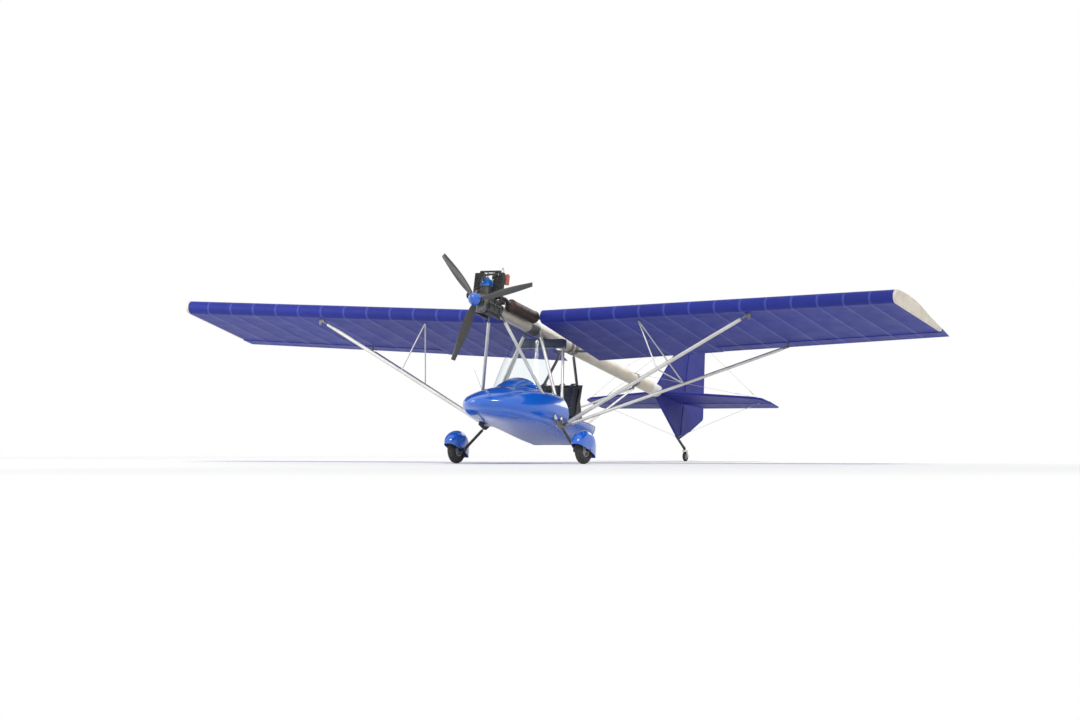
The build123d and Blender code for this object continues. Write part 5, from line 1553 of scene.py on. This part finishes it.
set_on_points("pod_screws", head_tree, pod_screws, bracket_steel, "airframe",
              Head_Radius=0.005, Head_Height=0.0022, Sides=12)

# %% [markdown]
# Rivets go round the boom near its two ends, where their places follow from a circle, and along the wing's
# tip caps, where they are found by rays from above and below.

# %% Rivets
BOOM_RIVETS = 12
CAP_RIVETS = 22
rivets = []
for s in (3.20, 3.44, -0.672):
    for k in range(BOOM_RIVETS):
        angle = 2 * math.pi * (k + 0.5) / BOOM_RIVETS
        out = boom_turn @ Vector((math.cos(angle), 0, math.sin(angle)))
        rivets.append((on_boom(0, s, 0) + out * (BOOM_RADIUS + SCREW_LIFT), out, along_boom))
for side in (1, -1):
    for k in range(CAP_RIVETS):
        share = (k + 0.5) / CAP_RIVETS
        middle = wing_frame(side * (HALF_SPAN - TIP_CAP)) @ Vector((0, 0.09 + share * 1.20, 0))
        for face in (1, -1):
            spot = landing(cap_tree, middle + Vector((side * 0.010, 0, face * 0.5)), Vector((0, 0, -face)))
            if spot:
                rivets.append((*spot, across))
set_on_points("rivets", head_tree, rivets, bracket_steel, "airframe",
              Head_Radius=0.0034, Head_Height=0.0014, Sides=8)

# %% [markdown]
# Thin wires brace the tail from the fin's top and foot to the tailplane, each ending in a small tang and a
# turnbuckle. They are drawn as fine tubes, because a curve with no thickness would vanish in the exported
# model.

# %% Tail wires
WIRE_RADIUS = 0.0016
WIRE_X = 1.13
wire_mesh = bmesh.new()
turnbuckle_mesh = bmesh.new()


def brace_wire(a, b):
    """Taut wire with a tang at each end and a turnbuckle near the second."""
    run = (b - a).normalized()
    add_tube(wire_mesh, [a, b], WIRE_RADIUS, 8)
    add_tube(turnbuckle_mesh, [b - run * 0.20, b - run * 0.19, b - run * 0.13, b - run * 0.12],
             [0.002, 0.0055, 0.0055, 0.002], 8)
    for end, inward in ((a, run), (b, -run)):
        add_tube(turnbuckle_mesh, [end - inward * 0.004, end + inward * 0.03], [0.0045, 0.0028], 8)


for side in (1, -1):
    for fin_n, tail_n in ((0.915, 0.017), (-0.430, -0.017)):
        brace_wire(on_boom(side * 0.018, FIN_REAR - 0.03, fin_n),
                   on_boom(side * WIRE_X, TAILPLANE_REAR - 0.02, tail_n))
    brace_wire(on_boom(side * 0.072, 2.60, 0.028), on_boom(side * 1.10, TAILPLANE_REAR - 0.27, 0.0155))
brace_wire(on_boom(0, FIN_REAR - 0.045, 0.925), on_boom(0, 2.55, BOOM_RADIUS + 0.002))
from_bmesh("tail_wires", wire_mesh, cable_steel, "airframe")
from_bmesh("turnbuckles", turnbuckle_mesh, bracket_steel, "airframe")

# %% [markdown]
# A light band is wrapped round the boom ahead of the fin, and two short aerials stand on the wing and on
# the nose. The band is a turned hoop a little larger than the boom, and an aerial is a turned base with a
# thin rod.

# %% Boom band and aerials
BAND_PROFILE = ((0.0003, 3.235), (0.0012, 3.236), (0.0012, 3.405), (0.0003, 3.406), (0.0003, 3.235))
WHIP_FOOT = (-0.30, -0.52)
band_mesh = bmesh.new()
add_turned(band_mesh, [(BOOM_RADIUS + lift, s) for lift, s in BAND_PROFILE], on_boom(0, 0, 0), along_boom, 48)
from_bmesh("boom_band", band_mesh, dial_white, "airframe")

aerial_mesh = bmesh.new()
stub_base = [(0, -0.002), (0.016, -0.002), (0.016, 0.004), (0.006, 0.014), (0, 0.014)]
whip_base = [(0, -0.002), (0.009, -0.002), (0.009, 0.004), (0.004, 0.012), (0, 0.012)]
foot, _ = landing(tree_of(nodes["wing_port"]), level(1.62, 0.45, 1.5), Vector((0, 0, -1)), 0.0)
add_turned(aerial_mesh, stub_base, foot, (0, 0, 1), 16)
add_tube(aerial_mesh, [foot + Vector((0, 0, 0.010)), foot + Vector((0, 0.02, 0.17))], [0.0022, 0.0014], 8)
foot, skin = landing(pod_tree, level(*WHIP_FOOT, 0.6), Vector((0, 0, -1)), 0.0)
add_turned(aerial_mesh, whip_base, foot, skin, 16)
whip_root = foot + skin * 0.009
add_tube(aerial_mesh, [whip_root, whip_root + Vector((-0.09, -0.03, 0.24))], [0.0018, 0.001], 8)
from_bmesh("aerials", aerial_mesh, hose_rubber, "airframe")

# %% [markdown]
# An aircraft tyre has plain grooves that run round it, not blocks. The lands between them are low bands that
# follow the tyre's crown, and the rim's bolts turn with the wheel.

# %% Tyre bands and wheel hardware
WHEEL_X = 0.860
WHEEL_Y = 0.160
WHEEL_Z = -1.356
TYRE_RADIUS = 0.163
CROWN_HALF = 0.037
CROWN_DROP = 0.0146
BAND_HALF = 0.005
RIM_FACE = 0.0105
BOLT_CIRCLE = 0.048
for side, word in SIDES:
    band_mesh = bmesh.new()
    centre = level(side * WHEEL_X, WHEEL_Y, WHEEL_Z)
    for x in (-0.024, -0.008, 0.008, 0.024):
        crown = TYRE_RADIUS - 0.0008 - (x / CROWN_HALF) ** 2 * CROWN_DROP
        lean = 2 * x / CROWN_HALF ** 2 * CROWN_DROP * BAND_HALF
        root, top = crown - 0.004, crown + 0.0004
        land = [(root + lean, x - BAND_HALF), (top + lean, x - 0.0045), (top - lean, x + 0.0045),
                (root - lean, x + BAND_HALF)]
        add_turned(band_mesh, land + land[:1], centre, across, 72)
    from_bmesh("tyre_bands_" + word, band_mesh, tyre_rubber, "wheel_" + word)
    wheel_bolts = []
    for k in range(6):
        angle = math.radians(k * 60)
        out = Vector((0, math.cos(angle), math.sin(angle)))
        for face in (1, -1):
            offset = Vector((face * RIM_FACE, BOLT_CIRCLE * math.cos(angle), BOLT_CIRCLE * math.sin(angle)))
            wheel_bolts.append((centre + offset, Vector((face, 0, 0)), out))
    set_on_points("wheel_bolts_" + word, head_tree, wheel_bolts, bracket_steel, "wheel_" + word,
                  Head_Radius=0.006, Head_Height=0.005, Sides=6)

# %% [markdown]
# A raw moulded edge is sharp, so the cockpit's rim, the cowl's foot and the holes for the tubes wear rubber
# edging. The edging need not be drawn by hand: it follows every edge of the CAD mesh where two faces meet
# at a steep angle.

# %% Rubber edging and grommets
to_level = park.inverted()
LOWER_CORNER = (-1, -1.5, -1.5)
UPPER_CORNER = (1, 1.5, 0)


def edging(name, source, steep, radius):
    """Thin rubber along the sharp edges of a node, inside a box given in the level frame."""
    found = bmesh.new()
    found.from_mesh(nodes[source].data)
    bmesh.ops.remove_doubles(found, verts=found.verts, dist=WELD_WITHIN)
    found.normal_update()
    rubber_mesh = bmesh.new()
    length = 0.0
    for edge in found.edges:
        if len(edge.link_faces) != 2 or edge.calc_face_angle(0) < math.radians(steep):
            continue
        a, b = edge.verts[0].co, edge.verts[1].co
        middle = to_level @ ((a + b) / 2)
        inside = all(LOWER_CORNER[i] <= middle[i] <= UPPER_CORNER[i] for i in range(3))
        if inside and (b - a).length > 1e-4:
            run = (b - a).normalized() * radius * 0.25
            add_tube(rubber_mesh, [a - run, b + run], radius, 8)
            length += (b - a).length
    found.free()
    print(name, "follows", round(length, 2), "m of edge")
    from_bmesh(name, rubber_mesh, hose_rubber, "airframe")


edging("pod_edging", "pod_shell", 50, 0.0032)
edging("cowl_edging", "instrument_cowl", 30, 0.0028)

# %% [markdown]
# The sailcloth is stitched to every rib. The stitches are placed by rays cast at the finished covers, above
# and below, so they follow the sag of the cloth.

# %% Rib stitches
STITCH_RUN = 0.05
STITCH_START = 0.12
STITCH_END = 0.14
rib_stitches = []
for side, word in SIDES:
    cover_tree = tree_of(bpy.data.objects["wing_" + word + "_cover"])
    for station in ribs[1:]:
        section = wing_frame(side * station)
        turn = section.to_3x3()
        for k in range(int((fixed_chord(station) - STITCH_END) / STITCH_RUN)):
            for face in (1, -1):
                start = section @ Vector((0, STITCH_START + STITCH_RUN * k, face * 0.4))
                spot = landing(cover_tree, start, turn @ Vector((0, 0, -face)))
                if spot:
                    rib_stitches.append((*spot, turn @ Vector((0, 1, 0))))
set_on_points("rib_stitches", block_tree, rib_stitches, seam_thread, "airframe",
              Length=0.016, Width=0.0022, Height=0.0012)

# %% [markdown]
# Two door posts carry the roof beam on the pod's side walls. In the CAD their feet stop short of the rim,
# so each post is drawn again here, down to the moulding. Where it lands is found on the pod's own mesh, and
# the foot is a socket on a round flange that lies flat on the skin.

# %% Door posts
POST_TOP = (0.290, 0.492, -0.050)
POST_LANDING = (0.425, 0.318, -0.712)
POST_RADIUS = 0.017
SOCKET_RADIUS = POST_RADIUS + 0.0035
POST_SIDES = 32
flange = [(0, -0.001), (0.032, -0.001), (0.032, 0.004), (0.029, 0.006), (0, 0.006)]
post_mesh = bmesh.new()
for side in (1, -1):
    top = level(side * POST_TOP[0], *POST_TOP[1:])
    foot, skin, _, _ = pod_tree.find_nearest(level(side * POST_LANDING[0], *POST_LANDING[1:]))
    skin = skin if skin.x * side > 0 else -skin
    run = (foot - top).normalized()
    add_tube(post_mesh, [top, foot + run * 0.004], POST_RADIUS, POST_SIDES)
    add_tube(post_mesh, [foot - run * 0.050, foot + run * 0.002], SOCKET_RADIUS, POST_SIDES)
    add_turned(post_mesh, flange, foot, skin, POST_SIDES)
    print("post lands at", tuple(round(c, 3) for c in to_level @ foot), "and is",
          round((foot - top).length, 3), "m long")
door_post_tubes = from_bmesh("door_post_tubes", post_mesh, tube_bright, "airframe")
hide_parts("door_posts")
